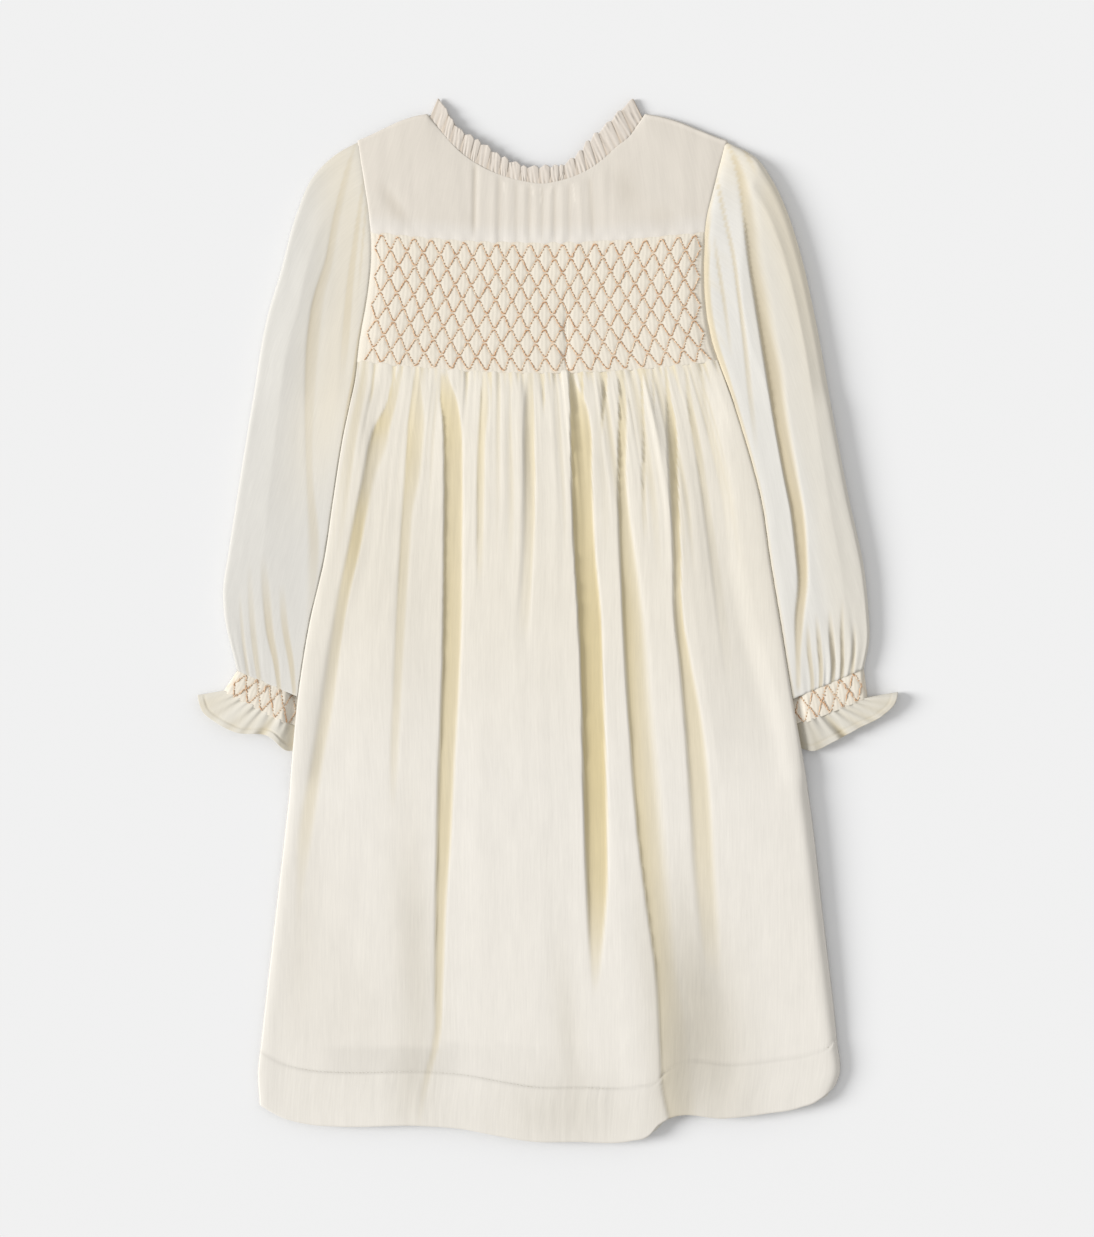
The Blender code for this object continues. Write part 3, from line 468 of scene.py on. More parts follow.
# Troughs of the sleeves, with the same columns, the wearer's right sleeve first
SLEEVE_TROUGHS = (
    (
        (
            (332, -136.0, 1.0, -134.0, 1.0, 0.6, 0.30),
            (318, -141.0, 1.2, -137.0, 2.0, 1.0, 0.42),
            (300, -146.0, 1.4, -140.5, 3.0, 1.2, 0.46),
            (275, -151.5, 1.5, -145.5, 4.0, 1.4, 0.46),
            (250, -156.0, 1.6, -149.0, 5.0, 1.5, 0.45),
            (225, -164.0, 1.8, -155.0, 6.0, 1.5, 0.46),
            (200, -168.0, 2.0, -158.0, 6.0, 1.5, 0.46),
            (150, -170.0, 2.4, -162.0, 5.0, 1.3, 0.38),
            (100, -169.0, 3.0, -163.5, 4.0, 1.1, 0.30),
            (50, -167.0, 5.0, -160.0, 4.0, 0.9, 0.26),
            (10, -168.0, 5.0, -163.0, 4.0, 0.3, 0.10),
            (-15, -169.0, 5.0, -165.0, 4.0, 0.0, 0.0),
        ),
        (
            (312, -129.0, 1.0, -127.4, 1.0, 0.5, 0.30),
            (290, -132.6, 1.2, -129.6, 1.4, 0.9, 0.42),
            (265, -136.6, 1.8, -132.4, 2.0, 1.1, 0.45),
            (235, -141.0, 2.4, -135.4, 2.6, 1.2, 0.45),
            (200, -144.4, 3.0, -138.0, 3.0, 1.1, 0.40),
            (165, -147.0, 3.0, -141.5, 3.0, 0.6, 0.22),
            (135, -149.0, 3.0, -144.0, 3.0, 0.0, 0.0),
        ),
        (
            (292, -127.6, 0.9, -126.0, 0.9, 0.6, 0.35),
            (265, -130.2, 0.9, -128.4, 1.0, 0.8, 0.42),
            (235, -132.8, 1.0, -131.0, 1.1, 0.5, 0.28),
            (212, -134.6, 1.0, -133.0, 1.2, 0.0, 0.0),
        ),
        (
            (40, -210.0, 2.5, -207.0, 2.5, 0.0, 0.0),
            (5, -209.0, 2.0, -205.0, 2.6, 0.6, 0.20),
            (-25, -206.0, 1.5, -202.4, 2.4, 0.9, 0.35),
            (-50, -202.0, 1.0, -199.4, 2.0, 0.9, 0.35),
        ),
        (
            (45, -201.0, 3.0, -197.0, 3.0, 0.0, 0.0),
            (12, -199.0, 2.0, -193.6, 3.0, 0.9, 0.30),
            (-10, -196.6, 1.6, -191.6, 2.6, 1.2, 0.45),
            (-32, -191.6, 1.2, -188.0, 2.2, 1.2, 0.50),
            (-52, -188.6, 1.0, -186.2, 1.6, 1.0, 0.45),
        ),
        (
            (25, -188.0, 2.5, -184.0, 2.5, 0.0, 0.0),
            (-5, -186.0, 2.0, -181.6, 2.4, 0.8, 0.34),
            (-30, -181.4, 1.6, -177.6, 2.0, 1.1, 0.45),
            (-50, -178.6, 1.2, -176.0, 1.8, 1.0, 0.40),
        ),
        (
            (20, -216.4, 1.6, -214.6, 1.6, 0.0, 0.0),
            (-10, -214.4, 1.4, -212.2, 1.6, 0.6, 0.25),
            (-42, -210.4, 1.0, -208.4, 1.4, 0.8, 0.30),
        ),
    ),
    (
        (
            (332, 125.6, 0.9, 127.6, 1.0, 0.9, 0.45),
            (314, 131.5, 1.2, 136.6, 3.0, 1.5, 0.55),
            (300, 134.0, 1.4, 141.0, 5.0, 1.9, 0.58),
            (275, 137.0, 1.5, 146.0, 7.0, 2.1, 0.58),
            (250, 140.0, 1.6, 149.0, 8.0, 2.2, 0.60),
            (225, 144.0, 1.8, 154.0, 8.0, 2.3, 0.62),
            (200, 148.0, 1.8, 158.0, 7.0, 2.4, 0.66),
            (175, 152.0, 1.8, 163.0, 6.0, 2.5, 0.70),
            (150, 156.0, 1.8, 166.0, 5.0, 2.6, 0.72),
            (100, 165.0, 2.0, 174.5, 4.0, 2.6, 0.72),
            (75, 170.0, 2.0, 179.0, 3.0, 2.6, 0.72),
            (50, 173.0, 2.2, 181.0, 2.4, 2.5, 0.70),
            (25, 175.0, 2.2, 181.5, 2.2, 2.3, 0.66),
            (0, 173.0, 2.0, 179.0, 2.2, 1.9, 0.55),
            (-25, 173.5, 1.8, 177.0, 2.0, 1.2, 0.45),
            (-45, 174.0, 1.8, 177.0, 2.0, 0.6, 0.30),
        ),
        (
            (318, 115.6, 0.9, 117.2, 0.9, 0.0, 0.0),
            (304, 118.2, 0.9, 120.2, 1.0, 0.9, 0.42),
            (283, 122.4, 0.9, 124.4, 1.2, 1.0, 0.46),
            (255, 128.4, 1.0, 130.8, 1.4, 1.1, 0.46),
            (229, 132.0, 1.0, 134.4, 1.5, 1.2, 0.46),
            (200, 135.6, 1.2, 138.4, 1.8, 1.2, 0.42),
            (155, 140.2, 1.4, 143.6, 2.2, 0.8, 0.28),
            (115, 145.0, 1.6, 148.0, 2.4, 0.0, 0.0),
        ),
        (
            (270, 115.4, 0.9, 117.0, 1.0, 0.0, 0.0),
            (252, 117.6, 1.0, 119.6, 1.2, 0.8, 0.40),
            (228, 121.4, 1.0, 123.8, 1.5, 0.9, 0.42),
            (205, 124.6, 1.2, 127.0, 1.8, 0.6, 0.28),
            (182, 127.4, 1.4, 129.8, 2.0, 0.0, 0.0),
        ),
        (
            (15, 205.0, 1.6, 207.0, 1.6, 0.0, 0.0),
            (-10, 204.6, 1.2, 207.2, 1.6, 0.9, 0.35),
            (-32, 205.0, 1.0, 207.6, 1.4, 1.3, 0.50),
            (-52, 204.0, 1.0, 206.2, 1.2, 1.1, 0.40),
        ),
        (
            (8, 196.0, 1.6, 198.0, 1.6, 0.0, 0.0),
            (-14, 197.0, 1.2, 200.4, 1.6, 1.0, 0.40),
            (-34, 198.6, 1.0, 201.4, 1.4, 1.4, 0.52),
            (-54, 197.6, 1.0, 199.8, 1.2, 1.1, 0.40),
        ),
        (
            (5, 186.6, 1.6, 188.6, 1.6, 0.0, 0.0),
            (-18, 188.4, 1.2, 191.6, 1.6, 1.1, 0.42),
            (-38, 190.0, 1.0, 192.8, 1.4, 1.4, 0.52),
            (-58, 189.0, 1.0, 191.2, 1.2, 1.1, 0.40),
        ),
        (
            (0, 180.6, 1.6, 182.6, 1.6, 0.0, 0.0),
            (-22, 181.4, 1.2, 184.4, 1.6, 1.0, 0.42),
            (-46, 184.0, 1.0, 186.6, 1.4, 1.2, 0.45),
            (-64, 183.4, 1.0, 185.4, 1.2, 0.9, 0.35),
        ),
        (
            (-2, 213.4, 1.4, 215.4, 1.4, 0.0, 0.0),
            (-20, 213.2, 1.2, 215.6, 1.4, 0.8, 0.32),
            (-44, 211.6, 1.0, 213.8, 1.2, 1.0, 0.38),
        ),
        (
            (334, 134.6, 1.0, 136.6, 1.0, 0.6, 0.35),
            (322, 140.0, 1.0, 142.6, 1.4, 0.7, 0.35),
            (308, 145.0, 1.2, 147.6, 1.8, 0.0, 0.0),
        ),
    ),
)
# Painted warm shade along the crevice where each sleeve passes under the body's edge
SLEEVE_GAP = (
    # y, width and painted warm shade on the minus side, width and painted warm shade on the plus side
    (300, 0.6, 0.10, 1.0, 0.30),
    (280, 0.8, 0.25, 2.4, 0.70),
    (255, 1.0, 0.35, 3.6, 0.85),
    (215, 1.6, 0.60, 4.0, 0.85),
    (185, 2.2, 0.75, 4.0, 0.85),
    (160, 2.6, 0.80, 3.0, 0.80),
    (120, 1.6, 0.40, 2.0, 0.70),
    (60, 1.0, 0.20, 1.6, 0.50),
)


def ease(share):
    """Goes smoothly from 0 to 1 while share goes from 0 to 1."""
    share = np.clip(share, 0.0, 1.0)
    return share * share * (3.0 - 2.0 * share)


def round_edge(distance, radius):
    """Quarter circle: 0 at the edge, 1 from radius inwards."""
    share = np.clip(1.0 - distance / radius, 0.0, 1.0)
    return np.sqrt(1.0 - share * share)


def bell(distance, half_width):
    """Gaussian: 1 at distance 0, and about a third at half_width."""
    return np.exp(-((distance / half_width) ** 2))


def smooth_line(at, places, values):
    """Cubic pieces through the table's values, with the table's own slopes, flat past its ends."""
    places = np.asarray(places, float)
    values = np.asarray(values, float)
    if places[0] > places[-1]:
        places = places[::-1]
        values = values[::-1]
    slopes = np.gradient(values, places)
    cell = np.clip(np.searchsorted(places, at) - 1, 0, len(places) - 2)
    width = places[cell + 1] - places[cell]
    t = np.clip((at - places[cell]) / width, 0.0, 1.0)
    start = (2 * t ** 3 - 3 * t ** 2 + 1) * values[cell]
    start_slope = (t ** 3 - 2 * t ** 2 + t) * width * slopes[cell]
    end = (3 * t ** 2 - 2 * t ** 3) * values[cell + 1]
    end_slope = (t ** 3 - t ** 2) * width * slopes[cell + 1]
    return start + start_slope + end + end_slope


def smooth_path(corners, shares):
    """Points at shares of the length of a smooth curve through the corners."""
    corners = np.asarray(corners, float)
    steps = np.hypot(*np.diff(corners, axis=0).T)
    chord = np.concatenate([[0.0], np.cumsum(steps)]) / steps.sum()
    fine = np.linspace(0.0, 1.0, 600)
    x = smooth_line(fine, chord, corners[:, 0])
    y = smooth_line(fine, chord, corners[:, 1])
    length = np.concatenate([[0.0], np.cumsum(np.hypot(np.diff(x), np.diff(y)))])
    return np.stack([np.interp(shares, length / length[-1], part) for part in (x, y)], axis=-1)


def table_line(at, table, index=1):
    """Smooth value of one column of a table, at places in its first column."""
    return smooth_line(at, [row[0] for row in table], [row[index] for row in table])


def side_x(y, side):
    """x of the dress's side at height y."""
    return table_line(y, SIDES, 1 + side)


def side_distance(x, y):
    """Distance inwards from the nearer side."""
    return np.minimum(x - side_x(y, MINUS), side_x(y, PLUS) - x)


def outside_distance(x, y, side):
    """Distance outwards from one side."""
    beyond = x - side_x(y, side)
    return beyond if side == PLUS else -beyond


def cross_line(x, line):
    """y of a seam across the body, which rises to both sides."""
    return line["y"] + line["rise"] * ((x - line["middle"]) / line["half"]) ** 2


def hem_y(x):
    """y of the front hem."""
    return table_line(x, HEM)


def tuck(y):
    """How far the sleeve's inner edge lies inside the skirt's side."""
    return table_line(y, TUCK_UNDER)


def lift(x, y, margin=0.0):
    """Height of the skirt's underside, which rides over each sleeve's inner strip."""
    along = ease((LIFT_START[0] - y) / (LIFT_START[0] - LIFT_START[1]))
    along = along * ease((y + 4 * margin - LIFT_END[1]) / (LIFT_END[0] - LIFT_END[1]))
    reach = np.maximum(tuck(y), 0.0) + LIFT_CLEAR + LIFT_RAMP + margin
    across = ease((reach - side_distance(x, y)) / LIFT_RAMP)
    return (STRIP_HEIGHT + GAP) * along * across


def inset_sides(x, y, amount):
    """Moves points in from both sides."""
    low = side_x(y, MINUS)
    high = side_x(y, PLUS)
    middle = (low + high) / 2
    return middle + (x - middle) * (1 - 2 * amount / (high - low))


def wander(x, y, cell_x, cell_y, seed):
    """Smooth random field from -1 to 1: seeded values on a lattice of cells, joined by eased steps."""
    size = 64
    table = np.random.default_rng(seed).uniform(-1.0, 1.0, (size, size))
    a = x / cell_x + size / 2 + 0.37
    b = y / cell_y + size / 2 + 0.61
    i = np.floor(a).astype(int)
    j = np.floor(b).astype(int)
    s = ease(a - i)
    t = ease(b - j)

    def value(m, n):
        return table[(i + m) % size, (j + n) % size]

    near = value(0, 0) * (1 - s) + value(1, 0) * s
    far = value(0, 1) * (1 - s) + value(1, 1) * s
    return near * (1 - t) + far * t


def troughs(x, y, table):
    """Depth of the troughs at each place, and the painted warm shade of their floors.

    Each trough is flat between its left and right edge, and each edge is an eased step as wide as
    its softness. A low roll stands along each edge, lower where the edge is soft. The painted warm shade
    gathers at the crisper edge. A narrow trough, or one that is crisp on the left, is less deep.
    """
    depth = np.zeros_like(x)
    trough_shade = np.zeros_like(x)
    for rows in table:
        left, left_soft, right, right_soft, deep, warm = (
            table_line(y, rows, index) for index in range(1, 7))
        fade = ease((rows[0][0] + TROUGH_FADE - y) / TROUGH_FADE)
        fade = fade * ease((y - rows[-1][0] + TROUGH_FADE) / TROUGH_FADE)
        deep = np.clip(deep, 0.0, None) * fade
        inside = ease((x - left) / left_soft + 0.5) * ease((right - x) / right_soft + 0.5)
        place = np.clip((x - left) / (right - left), 0.0, 1.0)
        crisper = (right_soft - left_soft) / (right_soft + left_soft)
        crisp_left = np.clip(crisper, 0, 1)
        crisp_right = np.clip(-crisper, 0, 1)
        narrow = np.clip(1.5 - (right - left) / 4.0, 0.0, 1.0)
        deep = deep * (1.0 - 0.48 * crisp_left) * (1.0 - 0.35 * narrow)
        bias = 1.0 - 0.75 * crisp_left * place - 0.75 * crisp_right * (1 - place)
        rolls = 0.30 * bell(x - left + left_soft / 2 + 1.8, 2.2) / left_soft
        rolls = rolls + 0.22 * bell(x - right - right_soft / 2 - 1.8, 2.4) / right_soft
        depth = np.maximum(depth, deep * inside) - deep * rolls
        trough_shade = np.maximum(trough_shade, np.clip(warm, 0, 1) * fade * inside * bias)
    return depth, trough_shade


def grid_faces(rows, columns, wrap=False, first=0):
    """Quads of a grid of points, as an array of point numbers."""
    r = np.arange(rows - 1)[:, None]
    c = np.arange(columns if wrap else columns - 1)[None, :]
    beyond = (c + 1) % columns
    a = r * columns + c
    b = (r + 1) * columns + c
    d = r * columns + beyond
    e = (r + 1) * columns + beyond
    return first + np.stack([a, b, e, d], axis=-1).reshape(-1, 4)


def along_grid(points):
    """Distances over a grid in centimetres: across its columns and down its rows."""
    across = np.linalg.norm(np.diff(points, axis=1), axis=-1)
    across = np.concatenate([np.zeros((len(points), 1)), np.cumsum(across, axis=1)], axis=1)
    across = across - across.mean(axis=1, keepdims=True)
    down = np.linalg.norm(np.diff(points, axis=0), axis=-1)
    down = np.concatenate([np.zeros((1, points.shape[1])), np.cumsum(down, axis=0)], axis=0)
    return np.stack([across, down], axis=-1) / 10.0


def new_mesh(name, points, faces, material, maps=None, values=None):
    """Object at the origin with a mesh of points in millimetres, UV maps and point values."""
    points = points.reshape(-1, 3)
    mesh = bpy.data.meshes.new(name)
    mesh.from_pydata((points * METRE).tolist(), [], faces.tolist())
    corner_points = np.empty(len(mesh.loops), dtype=np.int32)
    mesh.loops.foreach_get("vertex_index", corner_points)
    for map_name, places in (maps or {}).items():
        layer = mesh.uv_layers.new(name=map_name)
        flat = places.reshape(-1, 2)[corner_points].astype(np.float32)
        layer.uv.foreach_set("vector", flat.ravel())
    for value_name, numbers in (values or {}).items():
        attribute = mesh.attributes.new(value_name, "FLOAT", "POINT")
        attribute.data.foreach_set("value", numbers.astype(np.float32).ravel())
    mesh.materials.append(material)
    mesh.shade_smooth()
    piece = bpy.data.objects.new(name, mesh)
    bpy.context.scene.collection.objects.link(piece)
    return piece


def add_wall(piece, thickness=WALL):
    """Solidify grows the cloth's thickness inwards from its outer face."""
    wall = piece.modifiers.new("wall", "SOLIDIFY")
    wall.thickness = thickness * METRE
    wall.offset = -1.0
    return piece


def put_on(piece, slot, *nodes):
    """The piece rides on the dress's one body and stands for CAD nodes, which are hidden; the slot is not
    used.
    """
    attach(piece, "root")
    if nodes:
        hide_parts(*nodes)
    return piece


def linear(red, green, blue):
    """Colour of a screen value from 0 to 255, as light."""
    share = np.array([red, green, blue]) / 255.0
    light = np.where(share <= 0.04045, share / 12.92, ((share + 0.055) / 1.055) ** 2.4)
    return (*light.tolist(), 1.0)


class Nodes:
    """Short calls for a node tree."""

    def __init__(self, tree):
        self.tree = tree

    def add(self, kind, **settings):
        node = self.tree.nodes.new(kind)
        for name, value in settings.items():
            setattr(node, name, value)
        return node

    def join(self, output, socket):
        self.tree.links.new(output, socket)

    def math(self, operation, first, second=0.0):
        node = self.add("ShaderNodeMath", operation=operation)
        for socket, value in zip(node.inputs, (first, second)):
            if isinstance(value, (int, float)):
                socket.default_value = value
            else:
                self.join(value, socket)
        return node.outputs[0]

    def noise(self, place, stretch, detail, seed=0.0):
        moved = self.add("ShaderNodeMapping")
        moved.inputs["Scale"].default_value = (*stretch, 1.0)
        moved.inputs["Location"].default_value = (seed, seed * 0.7, 0.0)
        self.join(place, moved.inputs["Vector"])
        noise = self.add("ShaderNodeTexNoise", noise_dimensions="2D")
        noise.inputs["Scale"].default_value = 1.0
        noise.inputs["Detail"].default_value = detail
        noise.inputs["Roughness"].default_value = 0.55
        self.join(moved.outputs["Vector"], noise.inputs["Vector"])
        return noise.outputs["Fac"]


def make_cloth_group():
    """Fine slubbed cotton: plain weave, streaks along the warp, a soft mottle and painted warm shade on fold
    floors.

    The weave's height is the sine across times the sine along. The slubs are noise that is
    stretched along the warp. The colour is the base, turned warm where the warm shade value is high
    (painted warm shade in folds and crevices, and a warmer tone in a few places), a little lighter or darker
    with the slubs, and darker with the shade value: painted shade, and painted light below zero.
    """
    group = bpy.data.node_groups.new("slubbed_cotton", "ShaderNodeTree")
    for name, kind, value in (
        ("Place", "NodeSocketVector", None),
        ("Base", "NodeSocketColor", (0.8, 0.77, 0.7, 1.0)),
        ("Warm", "NodeSocketColor", (0.8, 0.68, 0.48, 1.0)),
        ("WarmShadeAndTint", "NodeSocketFloat", 0.0),
        ("Shade", "NodeSocketFloat", 0.0),
        ("Streaks", "NodeSocketFloat", 1.0),
    ):
        socket = group.interface.new_socket(name, in_out="INPUT", socket_type=kind)
        if value is not None:
            socket.default_value = value
    for name, kind in (("Color", "NodeSocketColor"), ("Roughness", "NodeSocketFloat"),
                       ("Height", "NodeSocketFloat")):
        group.interface.new_socket(name, in_out="OUTPUT", socket_type=kind)
    n = Nodes(group)
    given = n.add("NodeGroupInput")
    out = n.add("NodeGroupOutput")
    place = given.outputs["Place"]
    parts = n.add("ShaderNodeSeparateXYZ")
    n.join(place, parts.inputs[0])
    threads = 2 * np.pi / 0.05
    across = n.math("SINE", n.math("MULTIPLY", parts.outputs["X"], threads))
    along = n.math("SINE", n.math("MULTIPLY", parts.outputs["Y"], threads))
    weave = n.math("MULTIPLY", across, along)
    slubs = n.noise(place, (7.0, 0.30), 3.0, 3.1)
    fine = n.noise(place, (19.0, 0.9), 2.0, 7.7)
    mottle = n.noise(place, (0.7, 0.35), 2.0, 1.3)
    strength = n.math("MULTIPLY", n.math("SUBTRACT", slubs, 0.5), 0.11)
    strength = n.math("ADD", strength, n.math("MULTIPLY", n.math("SUBTRACT", fine, 0.5), 0.07))
    strength = n.math("MULTIPLY", strength, given.outputs["Streaks"])
    strength = n.math("ADD", strength, n.math("MULTIPLY", n.math("SUBTRACT", mottle, 0.5), 0.06))
    strength = n.math("SUBTRACT", strength, n.math("MULTIPLY", given.outputs["Shade"], 0.34))
    tint = n.add("ShaderNodeMix", data_type="RGBA")
    n.join(given.outputs["WarmShadeAndTint"], tint.inputs[0])
    n.join(given.outputs["Base"], tint.inputs[6])
    n.join(given.outputs["Warm"], tint.inputs[7])
    scaled = n.add("ShaderNodeVectorMath", operation="SCALE")
    n.join(tint.outputs[2], scaled.inputs[0])
    n.join(n.math("ADD", strength, 1.0), scaled.inputs["Scale"])
    n.join(scaled.outputs[0], out.inputs["Color"])
    n.join(n.math("ADD", n.math("MULTIPLY", slubs, 0.35), 0.5), out.inputs["Roughness"])
    height = n.math("ADD", n.math("MULTIPLY", weave, 0.12), n.math("MULTIPLY", slubs, 0.42))
    height = n.math("ADD", height, n.math("MULTIPLY", fine, 0.30))
    n.join(height, out.inputs["Height"])
    return group


def make_thin_cloth_group():
    """Evens out the shading of thin cloth, which lets light through: the normal's parts across the
    dress are made shorter in the dress's own axes, so slopes look less steep than they are."""
    group = bpy.data.node_groups.new("thin_cloth", "ShaderNodeTree")
    group.interface.new_socket("Normal", in_out="INPUT", socket_type="NodeSocketVector")
    group.interface.new_socket("Normal", in_out="OUTPUT", socket_type="NodeSocketVector")
    n = Nodes(group)
    given = n.add("NodeGroupInput")
    out = n.add("NodeGroupOutput")
    to_dress = n.add("ShaderNodeVectorTransform", vector_type="NORMAL", convert_from="WORLD",
                     convert_to="OBJECT")
    to_world = n.add("ShaderNodeVectorTransform", vector_type="NORMAL", convert_from="OBJECT",
                     convert_to="WORLD")
    flatter = n.add("ShaderNodeVectorMath", operation="MULTIPLY")
    flatter.inputs[1].default_value = (EVENNESS, EVENNESS, 1.0)
    n.join(given.outputs["Normal"], to_dress.inputs[0])
    n.join(to_dress.outputs[0], flatter.inputs[0])
    n.join(flatter.outputs[0], to_world.inputs[0])
    unit = n.add("ShaderNodeVectorMath", operation="NORMALIZE")
    n.join(to_world.outputs[0], unit.inputs[0])
    n.join(unit.outputs[0], out.inputs["Normal"])
    return group


def cloth_material(name, base, warm, streaks=1.0, bump=0.5, pleated=False):
    """Ivory cotton of one part of the dress; a pleated one has fine ridges along its pleats map."""
    material = bpy.data.materials.new(name)
    material.use_nodes = True
    n = Nodes(material.node_tree)
    shader = material.node_tree.nodes["Principled BSDF"]
    cloth = n.add("ShaderNodeGroup")
    cloth.node_tree = cotton
    cloth.inputs["Base"].default_value = base
    cloth.inputs["Warm"].default_value = warm
    cloth.inputs["Streaks"].default_value = streaks
    place = n.add("ShaderNodeUVMap", uv_map="cloth")
    n.join(place.outputs["UV"], cloth.inputs["Place"])
    # The fold value is painted warm shade in folds and crevices, with a warmer tone in a few places; the
    # shade value is painted shade, and painted light below zero.
    fold = n.add("ShaderNodeAttribute", attribute_type="GEOMETRY", attribute_name="fold")
    n.join(fold.outputs["Fac"], cloth.inputs["WarmShadeAndTint"])
    shade = n.add("ShaderNodeAttribute", attribute_type="GEOMETRY", attribute_name="shade")
    n.join(shade.outputs["Fac"], cloth.inputs["Shade"])
    height = cloth.outputs["Height"]
    if pleated:
        pleats = n.add("ShaderNodeUVMap", uv_map="pleats")
        parts = n.add("ShaderNodeSeparateXYZ")
        n.join(pleats.outputs["UV"], parts.inputs[0])
        wave = n.math("SINE", n.math("MULTIPLY", parts.outputs["X"], 2 * np.pi))
        height = n.math("ADD", height, n.math("MULTIPLY", wave, parts.outputs["Y"]))
    bumps = n.add("ShaderNodeBump")
    bumps.inputs["Strength"].default_value = bump
    bumps.inputs["Distance"].default_value = 0.25 * METRE
    n.join(height, bumps.inputs["Height"])
    even = n.add("ShaderNodeGroup")
    even.node_tree = thin_cloth
    n.join(bumps.outputs["Normal"], even.inputs["Normal"])
    n.join(cloth.outputs["Color"], shader.inputs["Base Color"])
    n.join(cloth.outputs["Roughness"], shader.inputs["Roughness"])
    n.join(even.outputs["Normal"], shader.inputs["Normal"])
    shader.inputs["Specular IOR Level"].default_value = 0.35
    shader.inputs["Sheen Weight"].default_value = 0.10
    shader.inputs["Sheen Roughness"].default_value = 0.4
    return material


def thread_material(name, dark, middle, glint):
    """Twisted thread: painted shade in bands that wind round it, with a bump that follows them, and each
    stitch has its own tone.
    """
    material = bpy.data.materials.new(name)
    material.use_nodes = True
    n = Nodes(material.node_tree)
    shader = material.node_tree.nodes["Principled BSDF"]
    tone = n.add("ShaderNodeAttribute", attribute_type="GEOMETRY", attribute_name="tone")
    ramp = n.add("ShaderNodeValToRGB")
    ramp.color_ramp.elements[0].color = dark
    ramp.color_ramp.elements[1].color = glint
    ramp.color_ramp.elements[1].position = 1.0
    ramp.color_ramp.elements.new(0.55).color = middle
    n.join(tone.outputs["Fac"], ramp.inputs[0])
    place = n.add("ShaderNodeUVMap", uv_map="thread")
    parts = n.add("ShaderNodeSeparateXYZ")
    n.join(place.outputs["UV"], parts.inputs[0])
    turns = n.math("ADD", n.math("MULTIPLY", parts.outputs["X"], 6.0),
                   n.math("MULTIPLY", parts.outputs["Y"], 2.0))
    twist = n.math("SINE", n.math("MULTIPLY", turns, 2 * np.pi))
    shade = n.math("ADD", n.math("MULTIPLY", twist, 0.22), 0.95)
    scaled = n.add("ShaderNodeVectorMath", operation="SCALE")
    n.join(ramp.outputs["Color"], scaled.inputs[0])
    n.join(shade, scaled.inputs["Scale"])
    n.join(scaled.outputs[0], shader.inputs["Base Color"])
    bumps = n.add("ShaderNodeBump")
    bumps.inputs["Strength"].default_value = 0.5
    bumps.inputs["Distance"].default_value = 0.15 * METRE
    n.join(twist, bumps.inputs["Height"])
    n.join(bumps.outputs["Normal"], shader.inputs["Normal"])
    shader.inputs["Roughness"].default_value = 0.42
    shader.inputs["Specular IOR Level"].default_value = 0.5
    return material


def button_material():
    """Pearly plastic with soft cloudy bands."""
    material = bpy.data.materials.new("pearly_button")
    material.use_nodes = True
    n = Nodes(material.node_tree)
    shader = material.node_tree.nodes["Principled BSDF"]
    place = n.add("ShaderNodeTexCoord")
    clouds = n.noise(place.outputs["Object"], (420.0, 160.0), 3.0, 0.4)
    ramp = n.add("ShaderNodeValToRGB")
    ramp.color_ramp.elements[0].color = linear(216, 208, 196)
    ramp.color_ramp.elements[1].color = linear(243, 240, 234)
    n.join(clouds, ramp.inputs[0])
    n.join(ramp.outputs["Color"], shader.inputs["Base Color"])
    n.join(n.math("ADD", n.math("MULTIPLY", clouds, 0.2), 0.15), shader.inputs["Roughness"])
    shader.inputs["Coat Weight"].default_value = 0.4
    return material


cotton = make_cloth_group()
thin_cloth = make_thin_cloth_group()
# The second colour of each cloth is the warm colour of its painted warm shade in folds and crevices.
WARM_SHADE_COLOUR = linear(222, 203, 150)
skirt_cloth = cloth_material("skirt_cotton", linear(227, 222, 213), WARM_SHADE_COLOUR)
sleeve_cloth = cloth_material("sleeve_cotton", linear(219, 216, 209), linear(216, 196, 150), 0.8)
yoke_cloth = cloth_material("yoke_cotton", linear(220, 214, 205), linear(206, 194, 174), 0.8)
smocked_cloth = cloth_material("smocked_cotton", linear(226, 218, 203), linear(212, 184, 146), 0.7, 0.45,
                               True)
frill_cloth = cloth_material("frill_cotton", linear(215, 206, 195), linear(196, 172, 142), 0.7)
cuff_frill_cloth = cloth_material("cuff_frill_cotton", linear(222, 217, 205), linear(206, 190, 152), 0.7)
back_cloth = cloth_material("back_cotton", linear(226, 221, 209), WARM_SHADE_COLOUR)
embroidery_thread = thread_material("peach_thread", linear(208, 154, 106), linear(230, 190, 150),
                                    linear(253, 235, 210))
sewing_thread = thread_material("ivory_thread", linear(214, 208, 192), linear(230, 226, 214),
                                linear(244, 242, 234))


def flank(from_left, from_right, left_roll, left_slope, right_roll, right_slope, right_share=0.60):
    """Rise of a soft layer from its two edges: a tight roll first, then a long gentle slope."""
    left = 0.45 * round_edge(from_left, left_roll) + 0.55 * ease(0.5 * from_left / left_slope) * 2.0
    right = (right_share * round_edge(from_right, right_roll)
             + (1.0 - right_share) * ease(0.5 * from_right / right_slope) * 2.0)
    return np.clip(left, 0.0, 1.0) * np.clip(right, 0.0, 1.0)


def wedges(fan, below, seed):
    """Depth of the fine wedges between gathers: each narrows and fades along its own length."""
    rng = np.random.default_rng(seed)
    count = WEDGES["count"]
    middles = (np.arange(count) + 0.5 + rng.uniform(-0.38, 0.38, count)) / count * 330.0
    widths = rng.uniform(*WEDGES["width"], count)
    lengths = WEDGES["length"][0] + (WEDGES["length"][1] - WEDGES["length"][0]) * rng.beta(1.3, 2.2, count)
    depths = rng.uniform(*WEDGES["depth"], count)
    total = np.zeros_like(fan)
    for middle, width, length, depth in zip(middles, widths, lengths, depths):
        share = np.clip(below / length, 0.0, 1.0)
        total = total + depth * bell(fan - middle, width * (1.4 - 0.6 * share)) * (1 - share) ** 1.2
    return total * ease((below + 4.0) / 4.0)


